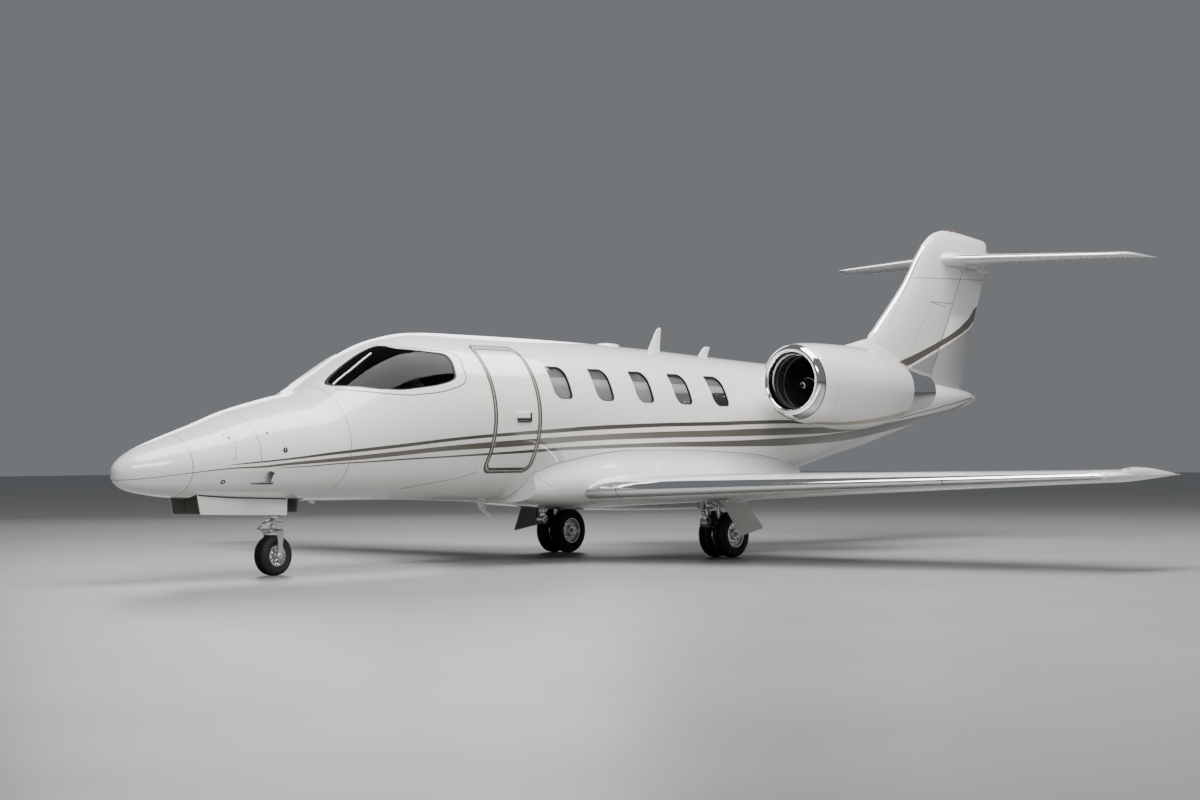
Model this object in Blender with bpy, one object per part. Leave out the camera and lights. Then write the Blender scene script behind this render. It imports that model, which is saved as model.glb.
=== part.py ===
"""Business jet parked on its gear: the solids, their places and the axes that they move about.

Metres, +X forward, +Y to port, +Z up, ground at z = 0, origin under the middle of the length.
A station is a distance aft of the nose tip, and st() turns it into X.
"""
import math

import bmesh
import bpy
import numpy as np
from mathutils import Matrix, Vector

# Driving dimensions
NOSE_X = 8.2784           # X of the nose tip, half of the overall length
SEAT_GAP = 0.0003         # air between two pieces that touch
MOVE_GAP = 0.008          # air around a piece that moves
SIDE_GAP = 0.010          # air at the ends of a hinged surface
HULL_WALL = 0.060         # frames, insulation and lining of the cabin wall
AFT_WALL = 0.030          # wall behind the cabin
GLASS_DEPTH = 0.012       # how far a pane lies below the skin

# Joints between the fuselage panels, as stations
RADOME_END = 0.66
NOSE_END = 2.42
COCKPIT_END = 4.30
FORWARD_CABIN_END = 5.24
CABIN_END = 8.98
AFT_END = 13.20
TAIL_END = 15.56

# Fuselage outline. Columns: station, belly height, crown height, half width, height of the widest place
HULL = np.array([
    (0.000, 1.040, 1.070, 0.015, 1.055),
    (0.012, 0.995, 1.108, 0.055, 1.055),
    (0.050, 0.945, 1.155, 0.105, 1.055),
    (0.150, 0.892, 1.228, 0.185, 1.060),
    (0.350, 0.848, 1.317, 0.280, 1.075),
    (0.660, 0.811, 1.420, 0.382, 1.100),
    (1.050, 0.787, 1.542, 0.480, 1.135),
    (1.430, 0.773, 1.668, 0.565, 1.175),
    (2.000, 0.758, 1.803, 0.670, 1.235),
    (2.230, 0.753, 1.850, 0.705, 1.260),
    (2.420, 0.750, 1.935, 0.733, 1.300),
    (2.640, 0.747, 2.053, 0.765, 1.340),
    (3.110, 0.741, 2.299, 0.820, 1.430),
    (3.520, 0.738, 2.445, 0.850, 1.510),
    (3.950, 0.730, 2.517, 0.868, 1.570),
    (4.300, 0.718, 2.528, 0.875, 1.605),
    (5.240, 0.692, 2.523, 0.875, 1.610),
    (6.320, 0.690, 2.508, 0.875, 1.605),
    (7.600, 0.690, 2.470, 0.875, 1.595),
    (8.980, 0.695, 2.407, 0.869, 1.580),
    (9.840, 0.770, 2.368, 0.850, 1.600),
    (10.65, 0.953, 2.335, 0.790, 1.660),
    (11.47, 1.148, 2.310, 0.700, 1.740),
    (12.45, 1.349, 2.290, 0.570, 1.820),
    (13.20, 1.510, 2.265, 0.460, 1.885),
    (13.84, 1.641, 2.225, 0.365, 1.930),
    (14.57, 1.784, 2.165, 0.250, 1.970),
    (15.32, 1.912, 2.075, 0.100, 1.995),
    (15.56, 1.960, 2.010, 0.025, 1.985),
])
HULL_SIDES = 30
HULL_STEP = 360.0 / HULL_SIDES   # degrees between two points of a fuselage section

# Wing-body fairing. Columns: station, lowest height, half width, height where it meets the fuselage
FAIRING = np.array([
    (5.243, 0.668, 0.700, 1.015),
    (5.530, 0.640, 0.800, 1.100),
    (6.000, 0.606, 0.900, 1.185),
    (6.600, 0.570, 0.950, 1.240),
    (7.500, 0.541, 0.965, 1.232),
    (8.400, 0.534, 0.955, 1.200),
    (9.000, 0.552, 0.915, 1.160),
    (9.600, 0.640, 0.850, 1.125),
    (10.20, 0.810, 0.740, 1.090),
])

# Wing, one side. The leading and trailing edges are straight from the centre line to the tip
WING_ROOT_Y = 1.00
WING_TIP_Y = 6.50
WING_END_Y = 6.683
WING_LE = (5.93, 7.28)        # stations at the root and tip sections
WING_TE = (8.75, 8.61)
WING_Z = (0.805, 0.965)       # mid-height of the section at the root and tip
WING_DEPTH = (0.125, 0.095)   # thickness over chord at the root and tip
FLAP_Y = (1.02, 4.05)
AILERON_Y = (4.10, 6.30)
WING_HINGE = 0.77             # share of the chord ahead of the flap and aileron hinges

# Tailplane, one side
TAIL_Z = 3.935
TAIL_TIP_Y = 2.34
TAIL_END_Y = 2.41
TAIL_LE = (14.56, 15.62)      # stations at the centre line and tip
TAIL_TE = (15.98, 16.54)
TAIL_DEPTH = (0.105, 0.090)
ELEVATOR_Y = (0.22, 2.28)
TAIL_HINGE = 0.70

# Fin. Columns: height, leading edge, trailing edge, half thickness
FIN = np.array([
    (1.950, 12.70, 15.16, 0.125),
    (2.450, 12.72, 15.34, 0.125),
    (2.770, 12.86, 15.45, 0.120),
    (2.899, 13.01, 15.50, 0.118),
    (3.158, 13.31, 15.61, 0.112),
    (3.581, 13.77, 15.80, 0.104),
    (4.060, 14.18, 15.91, 0.096),
    (4.190, 14.34, 15.94, 0.084),
    (4.245, 14.43, 15.88, 0.072),
    (4.300, 14.56, 15.45, 0.046),
    (4.338, 14.73, 15.05, 0.014),
])
RUDDER_HINGE = ((14.33, 2.26), (15.31, 3.80))  # station and height at the hinge's ends
RUDDER_FOOT = (2.285, 2.150)      # heights of the rudder's lower edge at the hinge and trailing edge
RUDDER_TOP = 3.790
RUDDER_NOTCH_TOP = 3.832
# Dorsal fairing ahead of the fin. Columns: station, crest height, half width at its foot
DORSAL = np.array([
    (10.90, 2.300, 0.100),
    (11.40, 2.420, 0.190),
    (11.90, 2.560, 0.240),
    (12.40, 2.652, 0.270),
    (12.80, 2.730, 0.260),
    (13.20, 2.800, 0.200),
])
DORSAL_FOOT = 2.10

# Engine. Columns: station, outer radius, inner radius, height of the centre
ENGINE_Y = 1.414
LIP = np.array([
    (9.035, 0.414, 0.402, 2.072),
    (9.050, 0.428, 0.391, 2.071),
    (9.220, 0.466, 0.370, 2.060),
    (9.440, 0.489, 0.360, 2.046),
])
COWL = np.array([
    (9.4403, 0.489, 0.360, 2.046),
    (9.700, 0.506, 0.356, 2.030),
    (10.05, 0.517, 0.400, 2.012),
    (10.40, 0.508, 0.420, 2.002),
    (10.80, 0.462, 0.400, 1.995),
    (11.17, 0.389, 0.346, 1.992),
])
NOZZLE = np.array([
    (11.1703, 0.385, 0.346, 1.992),
    (11.45, 0.316, 0.281, 1.990),
    (11.70, 0.262, 0.236, 1.990),
    (11.95, 0.220, 0.208, 1.990),
])
ENGINE_SIDES = 24
FAN_STATION = 9.60
FAN_Z = 2.036
FAN_RADIUS = 0.340
FAN_HUB = 0.110
FAN_BLADES = 12
CORE_SPAN = (9.75, 11.30)     # stations of the engine block
CORE_RADIUS = 0.235
CORE_Z = 2.005
VANES = 6

# Pylon
PYLON_SPAN = (9.75, 11.75)
PYLON_Z = 2.01
PYLON_DEPTH = 0.15

# Openings in the shell
DOOR_SPAN = (4.415, 5.130)    # stations of the entry door's edges
DOOR_SILL = 1.036
DOOR_TOP = 2.362
DOOR_CORNER = 0.11
WINDOW_FIRST = 5.395          # station of the first cabin window's forward edge
WINDOW_PITCH = 0.7185
WINDOW_COUNT = 5
WINDOW_WIDTH = 0.305
WINDOW_FOOT = 1.828
WINDOW_HEIGHT = 0.350
WINDOW_CORNERS = (0.018, 0.105, 0.075, 0.075)   # radii: top front, top rear, low rear, low front
WINDOW_DROP = 0.0125          # each window lies this much lower than the one ahead of it
# Windscreen pane, port side. Columns: station, distance from the centre line, height
WINDSCREEN = np.array([
    (2.515, 0.235, 1.950),
    (2.780, 0.561, 1.896),
    (3.080, 0.695, 1.877),
    (3.330, 0.742, 1.892),
    (3.660, 0.773, 1.937),
    (3.900, 0.768, 2.005),
    (3.960, 0.712, 2.110),
    (3.980, 0.641, 2.210),
    (3.940, 0.575, 2.275),
    (3.740, 0.515, 2.298),
    (3.441, 0.380, 2.325),
    (3.215, 0.160, 2.325),
])
WINDSCREEN_DRAW = Vector((0.45, 0.62, 0.64))    # direction in which the pane would lift out

# Floor and seats
FLOOR_TOP = 1.060
FLOOR_DEPTH = 0.040
UNDERFLOOR_CUT = 0.985        # the cabin shell ends here above the wing
SEAT_WIDTH = 0.46
SEAT_Y = 0.39
CREW_SEAT_STATION = 3.50
CABIN_SEATS = ((5.85, -1), (7.15, 1), (8.15, 1))   # station of the cushion, +1 facing forward

# Nose gear
NOSE_WHEEL_STATION = 2.03
NOSE_TYRE_RADIUS = 0.205
NOSE_TYRE_WIDTH = 0.160
NOSE_RIM_RADIUS = 0.112
NOSE_AXLE_RADIUS = 0.020
NOSE_BAY = (0.84, 2.28)
NOSE_BAY_HALF = 0.210
NOSE_BAY_ROOF = 1.100
NOSE_DOOR_SPAN = (0.85, 2.04)
NOSE_DOOR_LOW = 0.612
STEER_SPLIT = 0.585           # height where the steered part begins

WHEEL_SIDES = 24              # flats around every tyre and rim

# Main gear
MAIN_STATION = 7.92
MAIN_Y = 1.253
MAIN_TYRE_RADIUS = 0.270
MAIN_TYRE_WIDTH = 0.135
MAIN_RIM_RADIUS = 0.155
TWIN_OFFSET = 0.115
MAIN_SHAFT_RADIUS = 0.030
MAIN_POST_STATION = 7.58
LEG_HEAD_HALF = 0.110

PIN_RADIUS = 0.008            # hinge pins of the control surfaces

STATION_AFT = Vector((-1.0, 0.0, 0.0))


def clear_scene():
    for thing in list(bpy.data.objects):
        bpy.data.objects.remove(thing, do_unlink=True)


def st(station):
    """X of a station."""
    return NOSE_X - station


def finish(name, colour, roughness, metallic=0.0, alpha=1.0):
    made = bpy.data.materials.get(name) or bpy.data.materials.new(name)
    made.use_nodes = True
    shader = made.node_tree.nodes["Principled BSDF"]
    shader.inputs["Base Color"].default_value = (*colour, 1.0)
    shader.inputs["Roughness"].default_value = roughness
    shader.inputs["Metallic"].default_value = metallic
    shader.inputs["Alpha"].default_value = alpha
    return made


def paint():
    return finish("pearl paint", (0.86, 0.86, 0.84), 0.18)


def polished():
    return finish("polished metal", (0.82, 0.82, 0.84), 0.10, 1.0)


def dark_metal():
    return finish("dark metal", (0.10, 0.10, 0.11), 0.35, 0.9)


def steel():
    return finish("gear steel", (0.62, 0.62, 0.63), 0.30, 0.9)


def rubber():
    return finish("tyre rubber", (0.025, 0.025, 0.027), 0.85)


def glazing():
    return finish("tinted glass", (0.05, 0.055, 0.06), 0.05, 0.0, 0.45)


def leather():
    return finish("seat leather", (0.55, 0.48, 0.38), 0.55)


def trim():
    return finish("dark trim", (0.07, 0.07, 0.075), 0.6)


def make(name, points, faces, material=None):
    """A closed mesh object with its faces pointing out."""
    mesh = bpy.data.meshes.new(name)
    mesh.from_pydata([tuple(p) for p in points], [], [tuple(f) for f in faces])
    shape = bmesh.new()
    shape.from_mesh(mesh)
    bmesh.ops.recalc_face_normals(shape, faces=shape.faces)
    shape.to_mesh(mesh)
    shape.free()
    mesh.shade_smooth()
    mesh.set_sharp_from_angle(angle=math.radians(32.0))
    made = bpy.data.objects.new(name, mesh)
    bpy.context.scene.collection.objects.link(made)
    if material is None:
        made.hide_render = True
        made.display_type = 'WIRE'
    else:
        mesh.materials.append(material)
    return made


def combine(target, tool, operation='DIFFERENCE'):
    """Cut, keep or add with an exact Boolean; the tool becomes a guide."""
    step = target.modifiers.new(tool.name, 'BOOLEAN')
    step.operation = operation
    step.solver = 'EXACT'
    step.object = tool
    tool.hide_render = True
    tool.display_type = 'WIRE'
    return target


def place_origin(thing, point):
    """Move an object's origin to a point on its joint's axis, with its shape left in place."""
    thing.data.transform(Matrix.Translation(-Vector(point)))
    thing.location = point


def loft(rings, closed_ends=True):
    """Points and faces through rings of equal count, capped at both ends."""
    count = len(rings[0])
    points = [p for ring in rings for p in ring]
    faces = []
    for row in range(len(rings) - 1):
        low = row * count
        for i in range(count):
            j = (i + 1) % count
            faces.append((low + i, low + j, low + count + j))
            faces.append((low + i, low + count + j, low + count + i))
    if closed_ends:
        faces.append(tuple(range(count - 1, -1, -1)))
        faces.append(tuple(range(len(points) - count, len(points))))
    return points, faces


def tube(outer, inner):
    """Points and faces of a wall between two lofts that share their stations, open at both ends."""
    count = len(outer[0])
    rows = len(outer)
    points = [p for ring in outer for p in ring] + [p for ring in inner for p in ring]
    skip = rows * count
    faces = []
    for row in range(rows - 1):
        for i in range(count):
            j = (i + 1) % count
            low = row * count
            faces.append((low + i, low + j, low + count + j))
            faces.append((low + i, low + count + j, low + count + i))
            faces.append((skip + low + j, skip + low + i, skip + low + count + j))
            faces.append((skip + low + i, skip + low + count + i, skip + low + count + j))
    for row in (0, rows - 1):
        for i in range(count):
            j = (i + 1) % count
            low = row * count
            faces.append((low + i, low + j, skip + low + j, skip + low + i))
    return points, faces


def block(low, high):
    """Points and faces of a box between two corners."""
    points = [Vector((x, y, z))
              for x in (low[0], high[0]) for y in (low[1], high[1]) for z in (low[2], high[2])]
    faces = [(0, 1, 3, 2), (4, 6, 7, 5), (0, 4, 5, 1), (2, 3, 7, 6), (0, 2, 6, 4), (1, 5, 7, 3)]
    return points, faces


def merge(shapes):
    """Several points-and-faces pairs as one."""
    points, faces = [], []
    for part_points, part_faces in shapes:
        start = len(points)
        points.extend(part_points)
        faces.extend(tuple(start + i for i in face) for face in part_faces)
    return points, faces


def rod(start, end, radius, sides=12, end_radius=None):
    """A round bar between two points."""
    start, end = Vector(start), Vector(end)
    turn = (end - start).to_track_quat('Z', 'Y')
    rings = []
    for centre, r in ((start, radius), (end, end_radius or radius)):
        rings.append([centre + turn @ Vector((r * math.cos(a), r * math.sin(a), 0.0))
                      for a in np.linspace(0.0, 2.0 * math.pi, sides, endpoint=False)])
    return loft(rings)


def turned(profile, centre, axis, sides):
    """A profile of (distance along the axis, radius) spun about the axis; both ends lie on the axis."""
    turn = Vector(axis).to_track_quat('Z', 'Y')
    rings = []
    for along, radius in profile:
        rings.append([Vector(centre) + turn @ Vector((radius * math.cos(a), radius * math.sin(a), along))
                      for a in np.linspace(0.0, 2.0 * math.pi, sides, endpoint=False)])
    return loft(rings)


def ring_of(profile, centre, axis, sides):
    """A closed profile of (distance along the axis, radius) spun into a ring with a hole."""
    turn = Vector(axis).to_track_quat('Z', 'Y')
    count = len(profile)
    points, faces = [], []
    for a in np.linspace(0.0, 2.0 * math.pi, sides, endpoint=False):
        for along, radius in profile:
            points.append(Vector(centre) + turn @ Vector((radius * math.cos(a), radius * math.sin(a), along)))
    for s in range(sides):
        t = (s + 1) % sides
        for i in range(count):
            j = (i + 1) % count
            faces.append((s * count + i, t * count + i, t * count + j, s * count + j))
    return points, faces


def table(rows, station):
    """Every column of a table at a station, by a monotone cubic through its rows."""
    x = rows[:, 0]
    step = np.diff(x)
    slope = np.diff(rows[:, 1:], axis=0) / step[:, None]
    same = slope[:-1] * slope[1:] > 0.0
    inner = np.where(same, 2.0 * slope[:-1] * slope[1:] / np.where(same, slope[:-1] + slope[1:], 1.0), 0.0)
    tangent = np.vstack([slope[:1], inner, slope[-1:]])
    i = int(np.clip(np.searchsorted(x, station) - 1, 0, len(step) - 1))
    t = (station - x[i]) / step[i]
    low, high = rows[i, 1:], rows[i + 1, 1:]
    return ((1 + 2 * t) * (1 - t) ** 2 * low + t * (1 - t) ** 2 * step[i] * tangent[i]
            + t * t * (3 - 2 * t) * high + t * t * (t - 1) * step[i] * tangent[i + 1])


def stations_between(rows, start, end):
    """The table's own stations inside a span, with the span's ends."""
    inside = [s for s in rows[:, 0] if start + 0.02 < s < end - 0.02]
    return [start, *inside, end]


def hull_point(station, angle, inset=0.0):
    """Point of the fuselage section; angle 0 is port, a quarter turn is the crown."""
    belly, crown, half_width, middle = table(HULL, station)
    rise = crown - middle if math.sin(angle) > 0.0 else middle - belly
    return Vector((st(station), (half_width - inset) * math.cos(angle),
                   middle + (rise - inset) * math.sin(angle)))


def hull_ring(station, inset=0.0):
    angles = np.linspace(0.0, 2.0 * math.pi, HULL_SIDES, endpoint=False)
    return [hull_point(station, a, inset) for a in angles]


def hull_half_width(station, height, inset=0.0):
    belly, crown, half_width, middle = table(HULL, station)
    rise = (crown - middle if height > middle else middle - belly) - inset
    return (half_width - inset) * math.sqrt(max(0.0, 1.0 - ((height - middle) / rise) ** 2))


def hull_solid(name, start, end, inset=0.0, material=None):
    rings = [hull_ring(s, inset) for s in stations_between(HULL, start, end)]
    return make(name, *loft(rings), material)


def hull_shell(name, start, end, wall, material):
    rows = stations_between(HULL, start, end)
    return make(name, *tube([hull_ring(s) for s in rows], [hull_ring(s, wall) for s in rows]), material)


def hull_patch(start, end, angles, inset_out, inset_in):
    """A curved slab that follows the fuselage wall between two angles."""
    rings = []
    for s in stations_between(HULL, start, end):
        ring = [hull_point(s, a, inset_out) for a in angles]
        ring += [hull_point(s, a, inset_in) for a in reversed(angles)]
        rings.append(ring)
    return loft(rings)


def rounded_outline(corners, radii, steps=2):
    """A polygon whose corners are arcs of the given radii."""
    outline = []
    count = len(corners)
    for i, corner in enumerate(corners):
        here = Vector(corner)
        before = (Vector(corners[i - 1]) - here).normalized()
        after = (Vector(corners[(i + 1) % count]) - here).normalized()
        half = before.angle(after) / 2.0
        reach = radii[i] / math.tan(half)
        centre = here + (before + after).normalized() * (radii[i] / math.sin(half))
        first = here + before * reach - centre
        last = here + after * reach - centre
        for t in np.linspace(0.0, 1.0, steps + 1):
            arm = first.lerp(last, t).normalized() * radii[i]
            outline.append(centre + arm)
    return outline


def side_prism(outline, y_low, y_high):
    """An outline of (station, height) drawn across the aircraft."""
    rings = [[Vector((st(p[0]), y, p[1])) for p in outline] for y in (y_low, y_high)]
    return loft(rings)


def build_fuselage():
    skin = paint()
    hull_solid("radome", 0.0, RADOME_END, 0.0, finish("radome paint", (0.86, 0.86, 0.84), 0.20))
    nose = hull_solid("nose_section", RADOME_END + SEAT_GAP, NOSE_END, 0.0, skin)
    bay = make("nose bay cutter", *block((st(NOSE_BAY[1]), -NOSE_BAY_HALF, 0.5),
                                         (st(NOSE_BAY[0]), NOSE_BAY_HALF, NOSE_BAY_ROOF)))
    combine(nose, bay)
    cockpit = hull_shell("cockpit_section", NOSE_END + SEAT_GAP, COCKPIT_END, HULL_WALL, skin)
    forward = hull_shell("forward_cabin", COCKPIT_END + SEAT_GAP, FORWARD_CABIN_END, HULL_WALL, skin)
    cabin = hull_shell("mid_cabin", FORWARD_CABIN_END + SEAT_GAP, CABIN_END, HULL_WALL, skin)
    underfloor = make("underfloor cutter", *block((st(CABIN_END + 0.1), -1.0, 0.3),
                                                  (st(FORWARD_CABIN_END - 0.1), 1.0, UNDERFLOOR_CUT)))
    combine(cabin, underfloor)
    hull_shell("aft_fuselage", CABIN_END + SEAT_GAP, AFT_END, AFT_WALL, skin)
    build_tail_cone(skin)
    build_windscreen(cockpit)
    build_windows(cabin)
    build_door(forward)
    build_antennas(cabin, forward)


def build_tail_cone(skin):
    """A cup that is open to the front and closed at the tail."""
    rows = stations_between(HULL, AFT_END + SEAT_GAP, TAIL_END)
    inner_rows = [s for s in rows if s < 15.0]
    outer = [hull_ring(s) for s in rows]
    inner = [hull_ring(s, AFT_WALL) for s in inner_rows]
    count = HULL_SIDES
    points, faces = loft(outer, closed_ends=False)
    faces.append(tuple(range(len(points) - count, len(points))))
    skip = len(points)
    inner_points, inner_faces = loft(inner, closed_ends=False)
    points = points + inner_points
    faces += [tuple(skip + i for i in reversed(face)) for face in inner_faces]
    faces.append(tuple(range(len(points) - 1, len(points) - count - 1, -1)))
    for i in range(count):
        j = (i + 1) % count
        faces.append((i, skip + i, skip + j, j))
    make("tail_cone", points, faces, skin)


def pane_prism(shrink, side):
    """The windscreen pane's outline drawn through the wall along the way it would lift out."""
    outline = [Vector((st(s), y, z)) for s, y, z in WINDSCREEN]
    centre = sum(outline, Vector()) / len(outline)
    outline = [centre + (p - centre) * shrink for p in outline]
    draw = WINDSCREEN_DRAW.normalized()
    rings = []
    for shift in (0.35, -0.30):
        rings.append([Vector((p.x + draw.x * shift, side * (p.y + draw.y * shift), p.z + draw.z * shift))
                      for p in outline])
    return loft(rings)


def build_windscreen(cockpit):
    glass = glazing()
    for name, side in (("port", 1), ("starboard", -1)):
        hole = make(f"windscreen cutter {name}", *pane_prism(1.0, side))
        combine(cockpit, hole)
        angles = np.radians(np.append(np.arange(0.0, 88.0, HULL_STEP), 89.0))
        if side < 0:
            angles = math.pi - angles
        pane = make(f"windscreen_{name}",
                    *hull_patch(NOSE_END, COCKPIT_END, list(angles), GLASS_DEPTH, GLASS_DEPTH + 0.022),
                    glass)
        combine(pane, make(f"windscreen keeper {name}", *pane_prism(0.9990, side)), 'INTERSECT')


def window_prisms(side, shrink):
    """The cabin windows of one side as prisms through the wall."""
    prisms = []
    for i in range(WINDOW_COUNT):
        front = WINDOW_FIRST + i * WINDOW_PITCH + shrink
        rear = front + WINDOW_WIDTH - 2.0 * shrink
        foot = WINDOW_FOOT - i * WINDOW_DROP + shrink
        top = foot + WINDOW_HEIGHT - 2.0 * shrink
        corners = ((front, top), (rear, top), (rear, foot), (front, foot))
        prisms.append(side_prism(rounded_outline(corners, WINDOW_CORNERS), side * 0.45, side * 1.0))
    return merge(prisms)


def build_windows(cabin):
    """Five panes a side, held by one inner strip."""
    glass = glazing()
    first, last = WINDOW_FIRST, WINDOW_FIRST + (WINDOW_COUNT - 1) * WINDOW_PITCH + WINDOW_WIDTH
    for name, side in (("port", 1), ("starboard", -1)):
        combine(cabin, make(f"window cutter {name}", *window_prisms(side, 0.0)))
        angles = np.radians(np.arange(0.0, 61.0, HULL_STEP))
        strip_angles = np.radians(np.arange(HULL_STEP, 49.0, HULL_STEP))
        if side < 0:
            angles = math.pi - angles
            strip_angles = math.pi - strip_angles
        panes = make(f"cabin_windows_{name}",
                     *hull_patch(FORWARD_CABIN_END, CABIN_END, list(angles), GLASS_DEPTH,
                                 HULL_WALL + 0.009), glass)
        combine(panes, make(f"window keeper {name}", *window_prisms(side, 0.0004)), 'INTERSECT')
        strip = make(f"window strip {name}",
                     *hull_patch(first + 0.03, last - 0.03, list(strip_angles),
                                 HULL_WALL + 0.0050, HULL_WALL + 0.0130))
        combine(panes, strip, 'UNION')


def door_prism(grow):
    corners = ((DOOR_SPAN[0] - grow, DOOR_TOP + grow), (DOOR_SPAN[1] + grow, DOOR_TOP + grow),
               (DOOR_SPAN[1] + grow, DOOR_SILL - grow), (DOOR_SPAN[0] - grow, DOOR_SILL - grow))
    return side_prism(rounded_outline(corners, (0.03, DOOR_CORNER, DOOR_CORNER, DOOR_CORNER)), 0.30, 1.1)


def door_hinge_ends():
    """The hinge line, on the skin along the door's lower edge, near the door's two sides."""
    height = DOOR_SILL + MOVE_GAP
    ends = []
    for station in (DOOR_SPAN[1] - 0.10, DOOR_SPAN[0] + 0.10):
        share = (station - COCKPIT_END) / (FORWARD_CABIN_END - COCKPIT_END)
        across = []
        for row in (COCKPIT_END, FORWARD_CABIN_END):
            ring = hull_ring(row)
            low, high = next((a, b) for a, b in zip(ring, ring[1:] + ring[:1])
                             if a.z <= height < b.z and a.y > 0.0)
            across.append(low.y + (high.y - low.y) * (height - low.z) / (high.z - low.z))
        ends.append(Vector((st(station), across[0] + (across[1] - across[0]) * share, height)))
    return ends


def build_door(forward):
    """The entry door: the whole wall's thickness, hinged along its sill, with its outer handle."""
    combine(forward, make("doorway cutter", *door_prism(0.0)))
    angles = list(np.radians(np.arange(-60.0, 85.0, HULL_STEP)))
    door = make("entry_door",
                *hull_patch(COCKPIT_END, FORWARD_CABIN_END, angles, 0.0, HULL_WALL - 0.012), paint())
    combine(door, make("door keeper", *door_prism(-MOVE_GAP)), 'INTERSECT')
    handle = make("door handle", *block((st(4.955), 0.840, 1.600), (st(4.745), 0.895, 1.665)))
    combine(door, handle, 'UNION')
    rear, front = door_hinge_ends()
    hinge_pins(door, rear, front, (forward, forward), (0.065, 0.065))
    place_origin(door, (rear + front) / 2.0)


def build_antennas(cabin, forward):
    """Blade aerials that stand on the crown, and one under the belly."""
    tall = side_prism([(8.02, 2.33), (8.30, 2.33), (8.335, 2.728), (8.265, 2.728)], -0.012, 0.012)
    short = side_prism([(9.02, 2.33), (9.23, 2.33), (9.31, 2.525), (9.19, 2.525)], -0.011, 0.011)
    combine(cabin, make("crown aerial", *tall), 'UNION')
    combine(bpy.data.objects["aft_fuselage"], make("rear crown aerial", *short), 'UNION')
    low = side_prism([(5.02, 0.74), (5.10, 0.60), (5.26, 0.50), (5.31, 0.515), (5.20, 0.60), (5.17, 0.74)],
                     -0.010, 0.010)
    combine(forward, make("belly aerial", *low), 'UNION')


def fairing_ring(station, top_gap=0.010):
    """Wing-body fairing section: a wide rounded pan that closes in to the fuselage side."""
    low, half, top = table(FAIRING, station)
    upper_half = hull_half_width(station, top) + top_gap
    middle = low + 0.52 * (top - low)
    side = []
    for a in np.linspace(0.0, math.pi / 2.0, 5):
        side.append((half * math.sin(a) ** 0.75, middle - (middle - low) * math.cos(a) ** 0.75))
    for t in (0.5, 1.0):
        ease = 0.5 - 0.5 * math.cos(math.pi * t)
        side.append((half + (upper_half - half) * ease, middle + (top - middle) * t))
    x = st(station)
    port = [Vector((x, y, z)) for y, z in side]
    starboard = [Vector((x, -y, z)) for y, z in reversed(side[1:])]
    return port + starboard


def build_fairing():
    rings = [fairing_ring(s) for s in FAIRING[:, 0]]
    fairing = make("belly_fairing", *loft(rings), finish("fairing paint", (0.86, 0.86, 0.84), 0.2))
    combine(fairing, hull_solid("fairing hull cutter", COCKPIT_END, 10.65, -SEAT_GAP))
    for side in (1, -1):
        combine(fairing, make(f"fairing wing cutter {side}", *wing_rings(side, 0.0006)))


def section_depth(x):
    """Half thickness of a round-nosed section over half its greatest, which is at a third of the chord."""
    curve = 0.2969 * math.sqrt(x) - 0.1260 * x - 0.3516 * x ** 2 + 0.2843 * x ** 3 - 0.1015 * x ** 4
    return 10.0 * curve


CHORD_STEPS = (0.0, 0.018, 0.07, 0.18, 0.35, 0.55, 0.77, 1.0)


def blade_ring(place, lead, trail, depth, grow=0.0, blunt=0.004):
    """A section between two stations; place(station, offset) puts a point in space."""
    chord = trail - lead
    upper = []
    for x in CHORD_STEPS:
        half = section_depth(x) * depth * chord / 2.0 + blunt * x + grow
        stretch = lead - grow + (chord + 2.0 * grow) * x
        upper.append((stretch, half if x > 0.0 else 0.0))
    ring = [place(s, h) for s, h in upper]
    ring += [place(s, -h) for s, h in reversed(upper[1:])]
    return ring


def hinge_pins(surface, start, end, holders, lengths=(0.020, 0.020)):
    """A pin at each end of a hinged surface, and its bore in the piece that holds it."""
    start, end = Vector(start), Vector(end)
    along = (end - start).normalized()
    for spot, out, holder, length in ((start, -along, holders[0], lengths[0]),
                                      (end, along, holders[1], lengths[1])):
        pin = make(f"{surface.name} pin", *rod(spot - out * 0.035, spot + out * length, PIN_RADIUS, 8))
        bore = make(f"{surface.name} bore", *rod(spot - out * 0.035, spot + out * (length + 0.001),
                                                 PIN_RADIUS + 0.0009, 8))
        combine(surface, pin, 'UNION')
        combine(holder, bore)


def wing_at(y):
    """Leading edge, trailing edge, mid-height and depth of the wing at a distance from the centre line."""
    t = (y - WING_ROOT_Y) / (WING_TIP_Y - WING_ROOT_Y)
    return tuple(a + (b - a) * t for a, b in (WING_LE, WING_TE, WING_Z, WING_DEPTH))


def wing_ring(y, side, grow=0.0, lead_shift=0.0, trail_shift=0.0, squash=1.0):
    lead, trail, height, depth = wing_at(y)

    def place(station, offset):
        return Vector((st(station), side * y, height + offset))

    return blade_ring(place, lead + lead_shift, trail - trail_shift, depth * squash, grow)


def wing_rings(side, grow=0.0):
    inner = SEAT_GAP if grow == 0.0 else 0.0
    rings = [wing_ring(y, side, grow) for y in (inner, WING_ROOT_Y, WING_TIP_Y)]
    if not grow:
        rings.append(wing_ring(6.60, side, grow, 0.06, 0.0, 0.80))
        rings.append(wing_ring(6.66, side, grow, 0.22, 0.0, 0.50))
        rings.append(wing_ring(WING_END_Y, side, grow, 0.55, 0.0, 0.20))
    return loft(rings)


def control_ring(place, hinge, trail, half, cosine):
    """Section of a hinged surface: an arc about the hinge, then straight to the trailing edge."""
    radius = 1.15 * half
    spread = math.asin(half / radius)
    ring = []
    for a in np.linspace(-spread, spread, 5):
        ring.append(place(hinge - radius * math.cos(a) / cosine, radius * math.sin(a)))
    ring.append(place(trail, 0.003))
    ring.append(place(trail, -0.003))
    return ring


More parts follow.
